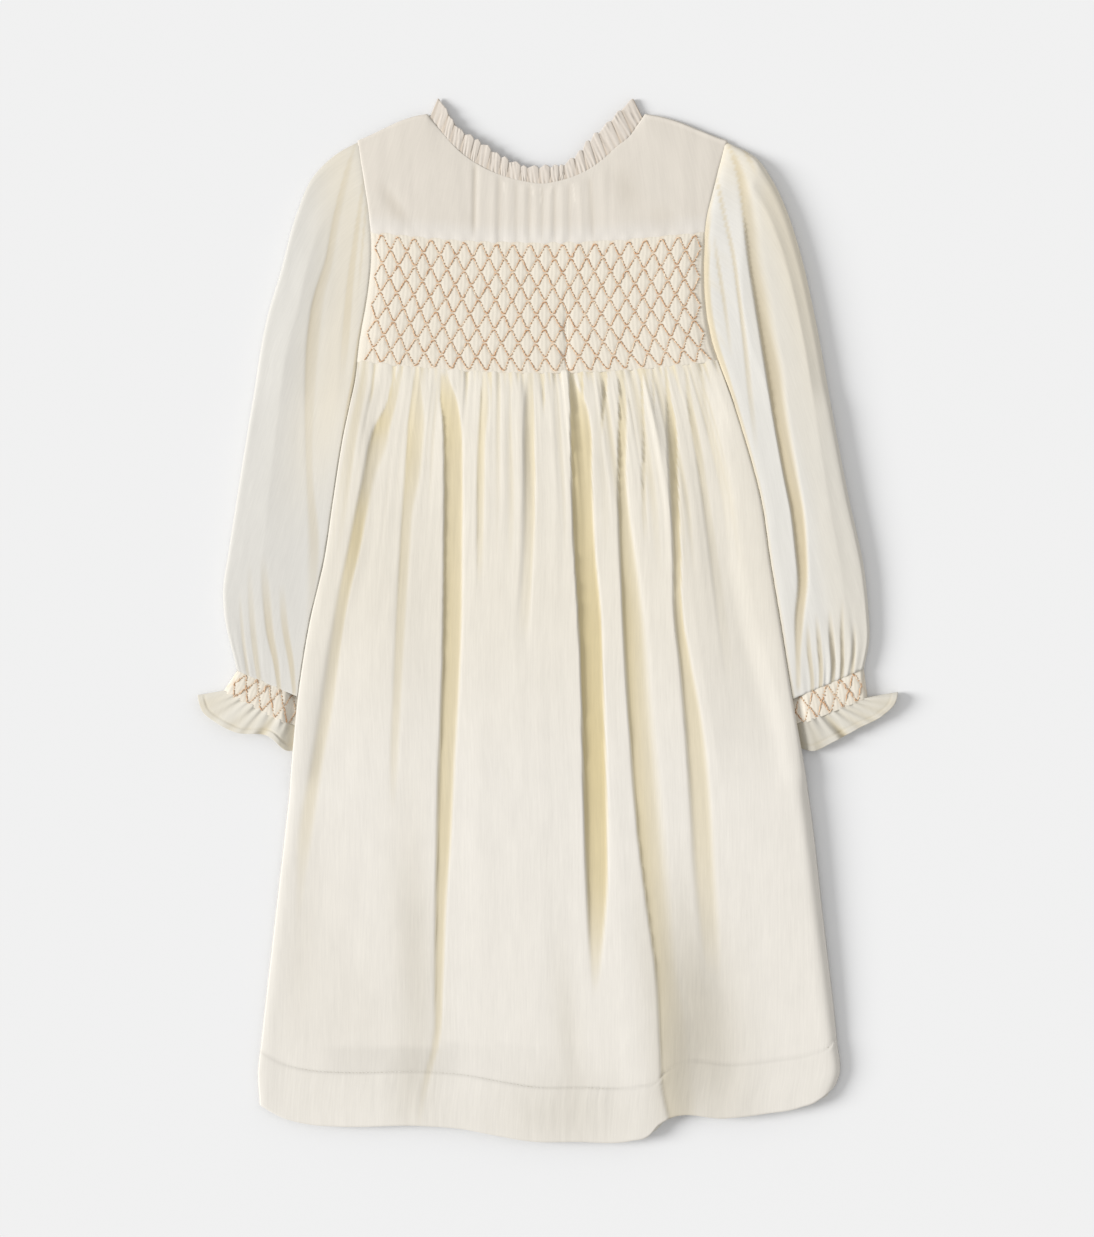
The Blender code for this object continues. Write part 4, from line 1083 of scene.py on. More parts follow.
def skirt_ground(x, y, u):
    """Outer height of the skirt front, its warm value (painted warm shade, and a warmer tone above) and its
    shade value (painted shade and light, with darker hem lines).
    """
    below_waist = cross_line(x, WAIST_LINE) - y
    from_left = x - side_x(y, MINUS)
    from_right = side_x(y, PLUS) - x
    distance = np.minimum(from_left, from_right)
    depth, trough_shade = troughs(x, y, SKIRT_TROUGHS)
    gathered = ease((y - 70.0) / 90.0)
    depth = depth * (1.0 - 0.32 * gathered)
    loft = table_line(y, SKIRT_LOFT)
    shade = np.zeros_like(x)
    for height, dark, half_width, half_length, middle_x, middle_y, slant in SKIRT_SWELLS:
        turn = np.radians(slant)
        across = (x - middle_x) * np.cos(turn) + (y - middle_y) * np.sin(turn)
        along = (y - middle_y) * np.cos(turn) - (x - middle_x) * np.sin(turn)
        oval = bell(across, half_width) * bell(along, half_length)
        loft = loft + height * oval
        shade = shade + dark * oval
    # Painted shade of the broad hollows
    swell_shade = np.clip(shade, 0.0, 1.0)
    fan = u * 330.0
    above_hem = y - hem_y(x)
    soft = 0.34 * wander(fan, y, 15.0, 230.0, 5) + 0.12 * wander(fan, y, 6.5, 150.0, 6)
    broad_tubes = 0.55 * wander(fan, y, 5.6, 260.0, 7) + 0.30 * wander(fan, y, 2.8, 140.0, 8)
    fine_tubes = 0.56 * wander(fan, y, 3.6, 190.0, 9) + 0.34 * wander(fan, y, 1.9, 110.0, 10)
    tubes = ease((y + 60.0) / 220.0) * broad_tubes + ease((y - 20.0) / 130.0) * fine_tubes
    grooves = wedges(fan, below_waist, 11)
    tips = 0.5 + 0.5 * np.cos(2 * np.pi * DIAMONDS_ACROSS * u)
    puckers = 0.45 * tips * (1 - ease(below_waist / 16.0))
    loft = loft + soft + tubes - depth - grooves - puckers
    under = lift(x, y, FRONT_LIFT_MARGIN)
    loft = np.maximum(loft - LOFT_TAKEN_BY_LIFT * under, LEAST_LOFT)
    seam = ease((y - SIDE_SEAM_FADE[0]) / (SIDE_SEAM_FADE[1] - SIDE_SEAM_FADE[0]))
    seam = (SEAM_HEIGHT - FRONT_LOW) * seam * (1 - round_edge(distance, SIDE_SEAM_ROUND))
    hem = HEM_STEP * ease((HEM_DEPTH - above_hem) / 1.2)
    hem = hem - 0.30 * bell(above_hem - HEM_DEPTH, 1.0)
    crinkle = 0.3 + 0.9 * bell(x - 22.0, 26.0) + 0.7 * bell(x + 92.0, 22.0)
    in_hem = ease((HEM_DEPTH + 6.0 - above_hem) / 10.0) * ease((above_hem + 6.0) / 10.0)
    hem = hem + 0.22 * crinkle * in_hem * wander(fan, y, 2.0, 30.0, 21)
    free_side = ease((-70.0 - y) / 60.0)
    rise = flank(from_left, from_right, 7.0, 110.0, 12.0, 60.0, 0.30 + 0.58 * free_side)
    z = FRONT_LOW + under + seam + loft * rise + hem * round_edge(distance, 3.0)
    joined = 1.0 - ease(below_waist / 16.0)
    heads = 0.55 * (1.0 - ease(below_waist / 9.0))
    level = body_height(x, y) + 0.5 * (soft + tubes) + heads - 0.7 * depth - 0.8 * grooves - 1.5 * puckers
    z = z * (1.0 - joined) + level * joined
    through = ease((above_hem - HEM_DEPTH) / 1.0) * ease((LINING_HEM["y"] - y) / 1.2)
    through = through * ease((x - LINING_HEM["left"]) / 26.0)
    through = through * (0.35 + 0.65 * ease((LINING_HEM["right"] - x) / 2.0))
    shade = shade + LINING_HEM["shade"] * through * ease((60.0 - x) / 60.0)
    # Slightly darker over the doubled hem, and painted shade on the trough floors
    shade = shade + 0.04 * ease((HEM_DEPTH - above_hem) / 1.2) + 0.5 * trough_shade * (1.0 - 0.4 * gathered)
    # Painted shade on the left flank and its edge, which face the light, so that they do not look bright
    left_edge_shade = 0.10 * bell(from_left, 16.0) * (1 - trough_shade) + 0.35 * bell(from_left, 1.6)
    # Painted warm shade on the trough floors, in the wedges between gathers, in the valleys between the tubes
    # and in the broad hollows, and a warmer tone over the upper skirt
    fold = np.clip(np.maximum(1.1 * trough_shade, 0.62 * np.clip(grooves, 0, 1)), 0, 1)
    fold = np.maximum(fold, 0.12 * ease((y + 140.0) / 180.0) + 0.34 * np.clip(-tubes - 0.15, 0, 1))
    fold = np.maximum(fold, 0.22 * swell_shade)
    # Painted shade in the valleys between the tubes, and painted light on their tops
    shade = shade + 0.20 * np.clip(-tubes - 0.15, 0, 1)
    shade = shade - (0.12 + 0.30 * gathered) * np.clip(tubes - 0.2, 0, 1)
    # A darker line along the top of the hem, and painted shade in the hollows of the hem's crinkles
    edge_line = 0.35 * bell(above_hem - HEM_DEPTH, 0.9)
    edge_line = edge_line + 0.3 * np.clip(-wander(fan, y, 2.0, 30.0, 21), 0, 1) * in_hem * crinkle * 0.4
    return z, fold, np.clip(shade + left_edge_shade + edge_line, -0.3, 1.0)


def skirt_plan(u, down):
    """Places on the skirt front: rows from the waist seam to the hem, columns between its sides."""
    waist_side = WAIST_LINE["y"] + WAIST_LINE["rise"]
    top_x = side_x(waist_side, MINUS) * (1 - u) + side_x(waist_side, PLUS) * u
    top_y = cross_line(top_x, WAIST_LINE) + 3 * SEAM_LAP
    foot_y = hem_y(HEM[0][0] * (1 - u) + HEM[-1][0] * u)
    y = top_y[None] + (foot_y - top_y)[None] * down[:, None]
    x = side_x(y, MINUS) * (1 - u)[None] + side_x(y, PLUS) * u[None]
    x = inset_sides(x, y, GAP * ease((y - SIDE_SEAM_FADE[0]) / (UNDERARM - SIDE_SEAM_FADE[0])))
    return x, y


def make_skirt_front():
    """Gathered skirt front on a grid, with its top edge tucked under the smocking."""
    u = np.linspace(0.0, 1.0, 265)
    down = np.concatenate([np.linspace(0.0, 0.13, 38), np.linspace(0.13, 0.90, 88)[1:],
                           np.linspace(0.90, 1.0, 32)[1:]])
    x, y = skirt_plan(u, down)
    z, fold, shade = skirt_ground(x, y, np.broadcast_to(u, x.shape))
    y[0] += 0.4
    z[0] -= 1.2
    points = np.stack([x, y, z], axis=-1)
    piece = new_mesh("skirt_front_cloth", points, grid_faces(*x.shape), skirt_cloth,
                     {"cloth": along_grid(points)}, {"fold": fold, "shade": shade})
    add_wall(piece)
    return put_on(piece, "skirt_cloth", "skirt_front")


def body_columns(neck_count, shoulder_count):
    """Top edge of the bodice: shoulder, neckline and shoulder, from minus to plus."""
    shoulders = []
    for corner, end in ((0, SIDES[0][1]), (-1, SIDES[0][2])):
        share = np.linspace(0.0, 1.0, shoulder_count + 1)[:-1]
        x = end + (NECKLINE[corner][0] - end) * share
        chord = SIDES[0][0] + (NECKLINE[corner][1] - SIDES[0][0]) * share
        y = chord + SHOULDER_RISE * np.sin(np.pi * share) * share
        shoulders.append(np.stack([x, y], axis=-1))
    neck = smooth_path(NECKLINE, np.linspace(0.0, 1.0, neck_count))
    return np.concatenate([shoulders[0], neck, shoulders[1][::-1]])


def body_plan(top, shares, bottom_line, drop=0.0):
    """Rows from the bodice's top edge down to a line across the body."""
    across = (top[:, 0] - SIDES[0][1]) / (SIDES[0][2] - SIDES[0][1])
    foot_x = side_x(bottom_line["y"], MINUS) * (1 - across) + side_x(bottom_line["y"], PLUS) * across
    foot_y = cross_line(foot_x, bottom_line) + drop
    share = shares[:, None]
    y = top[:, 1] + (foot_y - top[:, 1]) * share
    start = side_x(top[:, 1], MINUS) * (1 - across) + side_x(top[:, 1], PLUS) * across
    x = side_x(y, MINUS) * (1 - across) + side_x(y, PLUS) * across
    return x + (top[:, 0] - start) * (1 - share) ** 2, y


def body_height(x, y):
    """Outer height of the yoke and the smocked panel."""
    return SEAM_HEIGHT + BODY_LOFT * round_edge(side_distance(x, y), BODY_ROUND)


YOKE_CREASES = (
    # height, half width, y of its top, y of its foot, x at the top, x at the foot
    (-0.80, 1.7, 322, 262, -50.6, -51.6),
    (0.45, 2.4, 322, 262, -46.6, -47.8),
    (0.35, 2.0, 316, 256, -38.0, -38.5),
    (-0.40, 1.6, 314, 256, -33.5, -34.5),
    (0.40, 2.0, 312, 256, -27.5, -28.0),
    (-0.35, 1.4, 310, 256, -22.0, -22.0),
    (0.45, 1.6, 308, 256, -17.0, -17.5),
    (-0.45, 1.3, 308, 256, -12.5, -13.0),
    (0.45, 1.5, 308, 256, -8.0, -8.5),
    (-0.40, 1.2, 306, 256, -3.5, -4.0),
    (0.45, 1.5, 306, 256, 1.0, 1.0),
    (-0.50, 1.3, 306, 256, 5.0, 5.0),
    (0.45, 1.8, 308, 256, 10.0, 10.0),
    (-0.35, 1.4, 308, 256, 15.0, 15.5),
    (0.40, 2.2, 310, 258, 21.5, 24.0),
    (-0.45, 2.0, 312, 258, 29.5, 32.5),
    (0.35, 3.0, 318, 262, 38.0, 40.0),
)
# Glints: low ridges that are also painted lighter, as painted highlights
YOKE_GLINTS = (
    # height, half width, y of its top, y of its foot, x at the top, x at the foot
    (0.75, 0.55, 307.0, 297.0, -30.8, -30.0),
    (0.65, 0.50, 304.5, 294.0, -11.0, -9.6),
    (0.75, 0.55, 303.5, 288.0, -5.2, -4.4),
    (0.60, 0.50, 304.0, 296.0, 2.6, 2.2),
    (0.85, 0.55, 306.0, 290.0, 17.6, 19.4),
)
YOKE_DIMPLES = (
    # height, half width, half length, x, y, slant of its length from the y axis in degrees
    (-0.9, 5.0, 16.0, -107.0, 289.0, 34.0),
    (0.6, 6.0, 16.0, -98.0, 296.0, 34.0),
    (-0.7, 9.0, 15.0, 55.0, 301.0, 20.0),
    (-0.6, 12.0, 10.0, 82.0, 277.0, -70.0),
    (0.5, 12.0, 18.0, 96.0, 300.0, 0.0),
    (0.5, 14.0, 20.0, -75.0, 285.0, 10.0),
)


def streak(x, y, rows):
    """Ridges and furrows that run down between two points, each a bell across and eased at its ends."""
    total = np.zeros_like(x)
    for height, half_width, y_top, y_foot, x_top, x_foot in rows:
        share = (y_top - y) / (y_top - y_foot)
        middle = x_top + (x_foot - x_top) * share
        fade = ease(share / 0.15) * ease((1.0 - share) / 0.3)
        total = total + height * fade * bell(x - middle, half_width)
    return total


def dimples(x, y, rows):
    """Slanted oval hollows and swells, each a bell both ways."""
    total = np.zeros_like(x)
    for height, half_width, half_length, middle_x, middle_y, slant in rows:
        turn = np.radians(slant)
        across = (x - middle_x) * np.cos(turn) + (y - middle_y) * np.sin(turn)
        along = (y - middle_y) * np.cos(turn) - (x - middle_x) * np.sin(turn)
        total = total + height * bell(across, half_width) * bell(along, half_length)
    return total


def make_front_yoke():
    """Plain front from the shoulders and the neck seam to the smocking."""
    top = body_columns(150, 42)
    shares = np.concatenate([np.linspace(0.0, 0.3, 26), np.linspace(0.3, 1.0, 40)[1:]])
    x, y = body_plan(top, shares, YOKE_LINE, drop=GAP)
    x = inset_sides(x, y, -SEAM_LAP)
    from_top = top[:, 1] - y
    from_corner = np.minimum(top[:, 0] - NECKLINE[0][0], NECKLINE[-1][0] - top[:, 0])
    inside_neck = ease(from_corner / NECK_CORNER_REACH)
    top_height = FRONT_LOW + (NECK_SEAM_HEIGHT - FRONT_LOW) * inside_neck
    z = top_height + (body_height(x, y) - top_height) * round_edge(from_top, YOKE_ROUND)
    distance = side_distance(x, y)
    z = z + streak(x, y, YOKE_CREASES) + 0.2 * streak(x, y, YOKE_GLINTS) + 0.7 * dimples(x, y, YOKE_DIMPLES)
    z = z + 0.28 * wander(x, y, 9.0, 70.0, 31) + 0.10 * wander(x, y, 3.2, 30.0, 32)
    shoulder = 1.0 - ease(from_corner / 3.0 + 1.0)
    lip = bell(from_top - 1.6, 1.3) * shoulder * np.where(top[:, 0] > 0, 0.8, 0.35)
    armhole_pulls = 1 + 0.5 * np.sin(y * 2 * np.pi / 3.1) * bell(distance - 2.0, 2.2)
    armhole = 0.25 * bell(distance - 1.4, 1.3) * armhole_pulls
    low = y - cross_line(x, YOKE_LINE)
    pucker = 0.30 * ease(1.0 - low / 9.0) * np.cos(2 * np.pi * (x + 118.8) / 11.6)
    z = z + lip + armhole + pucker
    y[-1] -= 1.6
    z[-1] -= 0.9
    points = np.stack([x, y, z], axis=-1)
    # Painted warm shade and painted shade in the creases and hollows, and a warmer tone away from the yoke's
    # foot
    hollows = np.clip(-dimples(x, y, YOKE_DIMPLES), 0, 1)
    fold = 0.25 * ease((low - 5.0) / 12.0) + 0.35 * np.clip(-streak(x, y, YOKE_CREASES), 0, 1) + 0.2 * hollows
    shade = 0.22 * hollows + 0.25 * np.clip(-streak(x, y, YOKE_CREASES), 0, 1)
    shade = shade - 0.10 * ease((8.0 - low) / 6.0)
    # Painted light on the glints, the shoulder lip and the ridges of the creases
    shade = shade - 0.55 * np.clip(streak(x, y, YOKE_GLINTS), 0, 1) - 0.25 * lip
    shade = shade - 0.30 * np.clip(streak(x, y, YOKE_CREASES), 0, 1)
    piece = new_mesh("front_yoke_cloth", points, grid_faces(*x.shape), yoke_cloth,
                     {"cloth": along_grid(points)}, {"fold": np.clip(fold, 0, 1), "shade": shade})
    add_wall(piece)
    return put_on(piece, "bodice_cloth", "front_yoke")


def smock_place(across, down):
    """x and y on the smocked panel: across counts half diamonds from 0 to 40, down half rows from 0 to 9."""
    share = down / HALF_ROWS
    level = YOKE_LINE["y"] + YOKE_LINE["rise"]
    level = level + (WAIST_LINE["y"] + WAIST_LINE["rise"] - level) * share
    inset = SMOCK_INSET_TOP + (SMOCK_INSET_WAIST - SMOCK_INSET_TOP) * share
    low = side_x(level, MINUS) + inset
    high = side_x(level, PLUS) - inset
    x = low + (high - low) * across / (2 * DIAMONDS_ACROSS)
    upper = cross_line(x, YOKE_LINE) - GAP / 2
    lower = cross_line(x, WAIST_LINE) + GAP / 2
    y = upper + (lower - upper) * share
    inside = ease(np.minimum(across, 2 * DIAMONDS_ACROSS - across) / 3.0)
    pulled = -1.5 * np.clip((x - 12.9) / 3.0, -1.0, 1.0) * bell(x - 12.9, 7.0) * ease((232.0 - y) / 30.0)
    x = x + inside * (0.55 * wander(x, y, 22.0, 14.0, 41) + pulled)
    y = y + inside * 0.5 * wander(x, y, 16.0, 20.0, 42) * ease(np.minimum(down, HALF_ROWS - down) / 1.0)
    return x, y


def smock_height(across, down, x, y):
    """Outer height of the smocking: a puff in each diamond, a furrow where the cloth is pulled in."""
    c = across % 2.0
    r = down % 2.0
    in_first = np.abs(c - 1.0) + np.abs(r - 1.0)
    in_second = np.minimum(c, 2.0 - c) + np.minimum(r, 2.0 - r)
    reach = np.minimum(in_first, in_second)
    puff = np.clip(1.0 - reach ** 2.4, 0.0, 1.0) ** 0.7
    edge = ease(np.minimum(across, 2 * DIAMONDS_ACROSS - across) / 1.2)
    ends = ease((down + 0.25) / 0.8) * ease((HALF_ROWS + 0.25 - down) / 0.8)
    uneven = 1.0 + 0.22 * wander(x, y, 8.0, 9.0, 43)
    furrow = -1.2 * bell(x - 12.9, 3.2) * ease((236.0 - y) / 34.0)
    return body_height(x, y) - 0.1 + PUFF * 0.60 * puff * edge * ends * uneven + furrow, puff


def make_smocked_panel():
    """Pleated cloth that puffs up in each diamond of the lattice."""
    across = np.linspace(0.0, 2 * DIAMONDS_ACROSS, 20 * DIAMONDS_ACROSS // 1 - 39)
    down = np.linspace(-0.22, HALF_ROWS + 0.15, 100)
    a, d = np.meshgrid(across, down)
    x, y = smock_place(a, d)
    z, puff = smock_height(a, d, x, y)
    low = side_x(y[:, :1], MINUS) - SEAM_LAP
    high = side_x(y[:, -1:], PLUS) + SEAM_LAP
    x = np.concatenate([low, x, high], axis=1)
    y = np.concatenate([y[:, :1], y, y[:, -1:]], axis=1)
    z = np.concatenate([np.full_like(low, SEAM_HEIGHT), z, np.full_like(high, SEAM_HEIGHT)], axis=1)
    puff = np.concatenate([puff[:, :1], puff, puff[:, -1:]], axis=1)
    z[0] -= 1.0
    z[-1] -= 0.5
    points = np.stack([x, y, z], axis=-1)
    count = np.concatenate([[across[0] - 0.3], across, [across[-1] + 0.3]]) * PLEATS_PER_DIAMOND / 2
    pleats = np.stack([np.broadcast_to(count, x.shape), 0.25 + 0.45 * puff], axis=-1)
    maps = {"cloth": along_grid(points), "pleats": pleats}
    # Painted warm shade where the cloth is pulled in between the puffs
    fold = 0.42 * (1.0 - puff) ** 2.0 * ease((side_distance(x, y) - 3.0) / 4.0)
    piece = new_mesh("smocked_panel_cloth", points, grid_faces(*x.shape), smocked_cloth, maps, {"fold": fold})
    add_wall(piece)
    return put_on(piece, "smocked_cloth", "smocked_panel")


def stitches(name, starts, ends, radius, material, seed, sides=6, rings=5):
    """Joined spindle stitches: each ring's radius is the sine along the stitch to the power 0.7."""
    count = len(starts)
    share = np.linspace(0.0, 1.0, rings)
    thick = radius * np.sin(np.pi * np.clip(share, 0.06, 0.94)) ** 0.7
    middle = starts[:, None] + (ends - starts)[:, None] * share[None, :, None]
    middle = middle + np.array([0.0, 0.0, 1.0]) * (0.35 * radius * np.sin(np.pi * share))[None, :, None]
    along = ends - starts
    along = along / np.linalg.norm(along, axis=1, keepdims=True)
    sideways = np.cross(along, np.array([0.0, 0.0, 1.0]))
    sideways = sideways / np.linalg.norm(sideways, axis=1, keepdims=True)
    upwards = np.cross(sideways, along)
    turn = 2 * np.pi * np.arange(sides) / sides
    ring = sideways[:, None] * np.cos(turn)[None, :, None] + upwards[:, None] * np.sin(turn)[None, :, None]
    points = middle[:, :, None] + ring[:, None] * thick[None, :, None, None]
    per_stitch = rings * sides
    one = grid_faces(rings, sides, wrap=True)
    faces = (one[None] + per_stitch * np.arange(count)[:, None, None]).reshape(-1, 4).tolist()
    caps = []
    for start in range(0, count * per_stitch, per_stitch):
        caps.append(list(range(start, start + sides)))
        last = start + per_stitch - sides
        caps.append(list(range(last, last + sides))[::-1])
    mesh = bpy.data.meshes.new(name)
    mesh.from_pydata((points.reshape(-1, 3) * METRE).tolist(), [], faces + caps)
    corner_points = np.empty(len(mesh.loops), dtype=np.int32)
    mesh.loops.foreach_get("vertex_index", corner_points)
    winding = np.stack(np.broadcast_arrays(share[None, :, None], (turn / (2 * np.pi))[None, None, :]),
                       axis=-1)
    winding = np.broadcast_to(winding, (count, rings, sides, 2)).reshape(-1, 2)
    layer = mesh.uv_layers.new(name="thread")
    layer.uv.foreach_set("vector", winding[corner_points].astype(np.float32).ravel())
    tone = np.random.default_rng(seed).beta(2.2, 2.6, count)
    attribute = mesh.attributes.new("tone", "FLOAT", "POINT")
    attribute.data.foreach_set("value", np.repeat(tone, per_stitch).astype(np.float32))
    mesh.materials.append(material)
    mesh.shade_smooth()
    piece = bpy.data.objects.new(name, mesh)
    bpy.context.scene.collection.objects.link(piece)
    turn_out(piece)
    return piece


def turn_out(piece):
    """Turns the faces of closed shapes so that they point outwards."""
    shape = bmesh.new()
    shape.from_mesh(piece.data)
    bmesh.ops.recalc_face_normals(shape, faces=shape.faces)
    shape.to_mesh(piece.data)
    shape.free()


def lattice(half_columns, half_rows, spread=0.10, reach=0.22):
    """Ends of the lattice's stitches as across and down: pairs of slanted ones, and a bar at each tip."""
    begin = []
    end = []
    for row in range(half_rows):
        for c in range(half_columns + 1):
            upper_tip = (c + row) % 2 == 1
            level = row + spread if upper_tip else row + 1 - spread
            begin.append((max(c - reach, 0.0), level))
            end.append((min(c + reach, half_columns), level))
            if c == half_columns:
                continue
            from_level = level
            to_level = row + 1 - spread if upper_tip else row + spread
            for start_share, end_share in ((0.02, 0.22), (0.27, 0.47), (0.53, 0.73), (0.78, 0.98)):
                left = c + 0.17
                right = c + 0.83
                begin.append((left + (right - left) * start_share,
                              from_level + (to_level - from_level) * start_share))
                end.append((left + (right - left) * end_share,
                            from_level + (to_level - from_level) * end_share))
    return np.array(begin), np.array(end)


def make_smocking_stitches():
    """Peach embroidery of the lattice on the smocked panel."""
    begin, end = lattice(2 * DIAMONDS_ACROSS, HALF_ROWS)
    shift = np.random.default_rng(61).normal(0.0, 0.03, begin.shape)
    both = []
    for places, move in ((begin + shift, 1.0), (end - shift, -1.0)):
        across = np.clip(places[:, 0], 0.05, 2 * DIAMONDS_ACROSS - 0.05)
        down = np.clip(places[:, 1], 0.0, HALF_ROWS)
        x, y = smock_place(across, down)
        z, _ = smock_height(across, down, x, y)
        both.append(np.stack([x, y, z + 0.22], axis=-1))
    piece = stitches("smocking_stitches", both[0], both[1], 0.47, embroidery_thread, 62, sides=5, rings=4)
    return put_on(piece, "smocked_cloth")


def sleeve_plan(side, steps, shares):
    """Places on a sleeve: lines across it that turn from the armhole seam to the cuff."""
    outer = smooth_path(SLEEVE_EDGES[side], steps)
    inward = 1.0 if side == MINUS else -1.0
    inner_y = UNDERARM + (CUFF_TOP[side][1][1] + GAP - UNDERARM) * steps
    inner_x = side_x(inner_y, side) + inward * tuck(inner_y)
    inner = np.stack([inner_x, inner_y], axis=-1)
    straight = outer[:, None] + (inner - outer)[:, None] * shares[None, :, None]
    seam_y = SIDES[0][0] + (UNDERARM - SIDES[0][0]) * shares
    seam = np.stack([side_x(seam_y, side) + inward * 3 * SEAM_LAP, seam_y], axis=-1)
    chord = outer[0] + (inner[0] - outer[0]) * shares[:, None]
    turned = straight + (seam - chord)[None] * ((1 - steps) ** 3)[:, None, None]
    return turned, np.hypot(*(outer - inner).T)


def edge_fold(from_start, from_end, height, end_radius=3.0):
    """Height near a tube's two folds: rises from the fold's middle in a quarter circle at each edge."""
    near = round_edge(from_start, 3.0) * round_edge(from_end, end_radius)
    return FOLD_MIDDLE + (height - FOLD_MIDDLE) * near


TOP_SHARES = np.concatenate([[0.0, 0.003, 0.009, 0.018, 0.03], np.linspace(0.045, 0.955, 84),
                             [0.97, 0.982, 0.991, 0.997, 1.0]])
UNDER_SHARES = np.concatenate([[0.993, 0.98], np.linspace(0.955, 0.045, 16), [0.02, 0.007]])


def tube(name, over, under, fold, shade, material, slot, node, side):
    """Flattened tube: its upper grid and its lower one joined round both folds."""
    points = np.concatenate([over, under], axis=1)
    blank = np.zeros(under.shape[:2])
    values = {"fold": np.concatenate([fold, blank], axis=1), "shade": np.concatenate([shade, blank], axis=1)}
    faces = grid_faces(*points.shape[:2], wrap=True)
    if side == PLUS:
        faces = faces[:, ::-1]
    piece = new_mesh(name, points, faces, material, {"cloth": along_grid(points)}, values)
    add_wall(piece, 0.5)
    return put_on(piece, slot, node)


def make_sleeve(side, name, node):
    """Full sleeve from the armhole seam to the cuff, with gathers at both ends."""
    steps = np.concatenate([np.linspace(0.0, 0.14, 26), np.linspace(0.14, 0.78, 70)[1:],
                            np.linspace(0.78, 1.0, 34)[1:]])
    plan, widths = sleeve_plan(side, steps, TOP_SHARES)
    x = plan[..., 0]
    y = plan[..., 1]
    shares = TOP_SHARES[None, :]
    step = steps[:, None]
    from_side = outside_distance(x, y, side)
    depth, trough_shade = troughs(x, y, SLEEVE_TROUGHS[side])
    if side == MINUS:
        depth = depth * (1.0 - 0.42 * ease(y / 80.0))
    lofts = table_line(steps, SLEEVE_LOFT)[:, None]
    fan = shares * 74.0
    length = step * 385.0
    soft = 0.32 * wander(fan, length, 12.0, 130.0, 71 + side)
    soft = soft + 0.12 * wander(fan, length, 5.0, 80.0, 73 + side)
    head = 0.12 * np.sin(2 * np.pi * 21 * shares) + 0.45 * wander(fan, length, 2.4, 60.0, 75 + side)
    head = ease(1 - step / 0.12) * head * (0.4 + 0.6 * ease(shares / 0.25))
    wrist = 0.36 * np.sin(2 * np.pi * 9 * shares + 0.6) + 0.4 * wander(fan, length, 3.0, 60.0, 77 + side)
    wrist = ease((step - 0.84) / 0.16) * wrist
    from_outer = shares * widths[:, None]
    inner = np.clip(from_side - 0.2, 0.0, None)
    if side == MINUS:
        rise = flank(from_outer, inner, 6.0, 30.0, 5.0, 58.0, 0.10)
    else:
        rise = flank(inner, from_outer, 8.0, 26.0, 9.0, 20.0)
    covered = ease((LIFT_START[0] - 4.0 - y) / 24.0) * ease((y - LIFT_END[1]) / 20.0)
    over_strip = 3.0 * covered
    low_strip = 0.9 * (1.0 - covered)
    strip = STRIP_HEIGHT - low_strip + (low_strip + over_strip) * ease((from_side + 0.7) / 1.0)
    z = strip + np.maximum(lofts + soft + head + wrist - depth - over_strip, 0.2) * rise
    z = edge_fold(shares * widths[:, None], (1 - shares) * widths[:, None], z, 0.9)
    over = np.concatenate([plan, z[..., None]], axis=-1)
    below, _ = sleeve_plan(side, steps, UNDER_SHARES)
    from_edge = np.minimum(UNDER_SHARES, 1 - UNDER_SHARES)[None, :] * widths[:, None]
    low = FOLD_MIDDLE * (1 - round_edge(from_edge, FOLD_RADIUS))
    low = low + 0.35 + 0.4 * np.clip(wander(UNDER_SHARES[None] * 74.0, length, 9.0, 90.0, 81 + side), 0, 1)
    under = np.concatenate([below, low[..., None]], axis=-1)
    # Painted warm shade and painted shade in the crevice under the body's edge, on the trough floors and in
    # the hollows of the gathers at the head and the wrist
    wide = table_line(y, SLEEVE_GAP, 1 + 2 * side)
    warm = table_line(y, SLEEVE_GAP, 2 + 2 * side)
    crevice = 0.7 * warm * ease((wide + 1.0 - from_side) / 2.0)
    fold = np.clip(np.maximum(np.maximum(trough_shade, crevice), -0.5 * np.minimum(head, 0.0)), 0, 1)
    shade = 0.35 * crevice + 0.12 * np.clip(-wrist, 0, 1) + 0.45 * trough_shade
    if side == MINUS:
        # Darker over the whole sleeve, with painted shade near the outer edge, which faces the light, a
        # darker band towards the head, a painted shade line along the outer edge, and painted light with a
        # warm tint on the slope beside the body, which faces away from the light
        light_beside_body = bell(from_side - 14.0, 24.0) * ease((y - 40.0) / 120.0)
        shade = shade + 0.10 + 0.14 * bell(from_outer, 16.0) + 0.10 * ease((0.35 - step) / 0.3)
        shade = shade - 0.42 * light_beside_body + 0.40 * bell(from_outer, 1.6)
        fold = np.clip(np.maximum(fold, 0.26 * light_beside_body), 0, 1)
    else:
        # Painted shade a little way out from the body's edge, painted light on the upper outer part, which
        # faces away from the light, and a warmer tone away from the body and near the outer edge
        outer = ease((0.62 - step) / 0.4)
        shade = shade + 0.10 * bell(from_side - 12.0, 12.0) - 0.36 * bell(from_outer, 24.0) * outer
        warmer = 0.12 * ease((from_side - 26.0) / 16.0) + 0.22 * bell(from_outer - 8.0, 22.0) * outer
        fold = np.clip(fold + warmer * (1 - fold), 0, 1)
    return tube(name, over, under, fold, shade, sleeve_cloth, "sleeve_cloth", node, side)


def cuff_place(side, share, step):
    """x and y on a cuff: share across it from its outer fold, step from its top to its foot."""
    top = np.asarray(CUFF_TOP[side], float)
    foot = np.asarray(CUFF_FOOT[side], float)
    share = share[..., None]
    step = step[..., None]
    start = top[0] + (foot[0] - top[0]) * step
    end = top[1] + (foot[1] - top[1]) * step
    return start + (end - start) * share


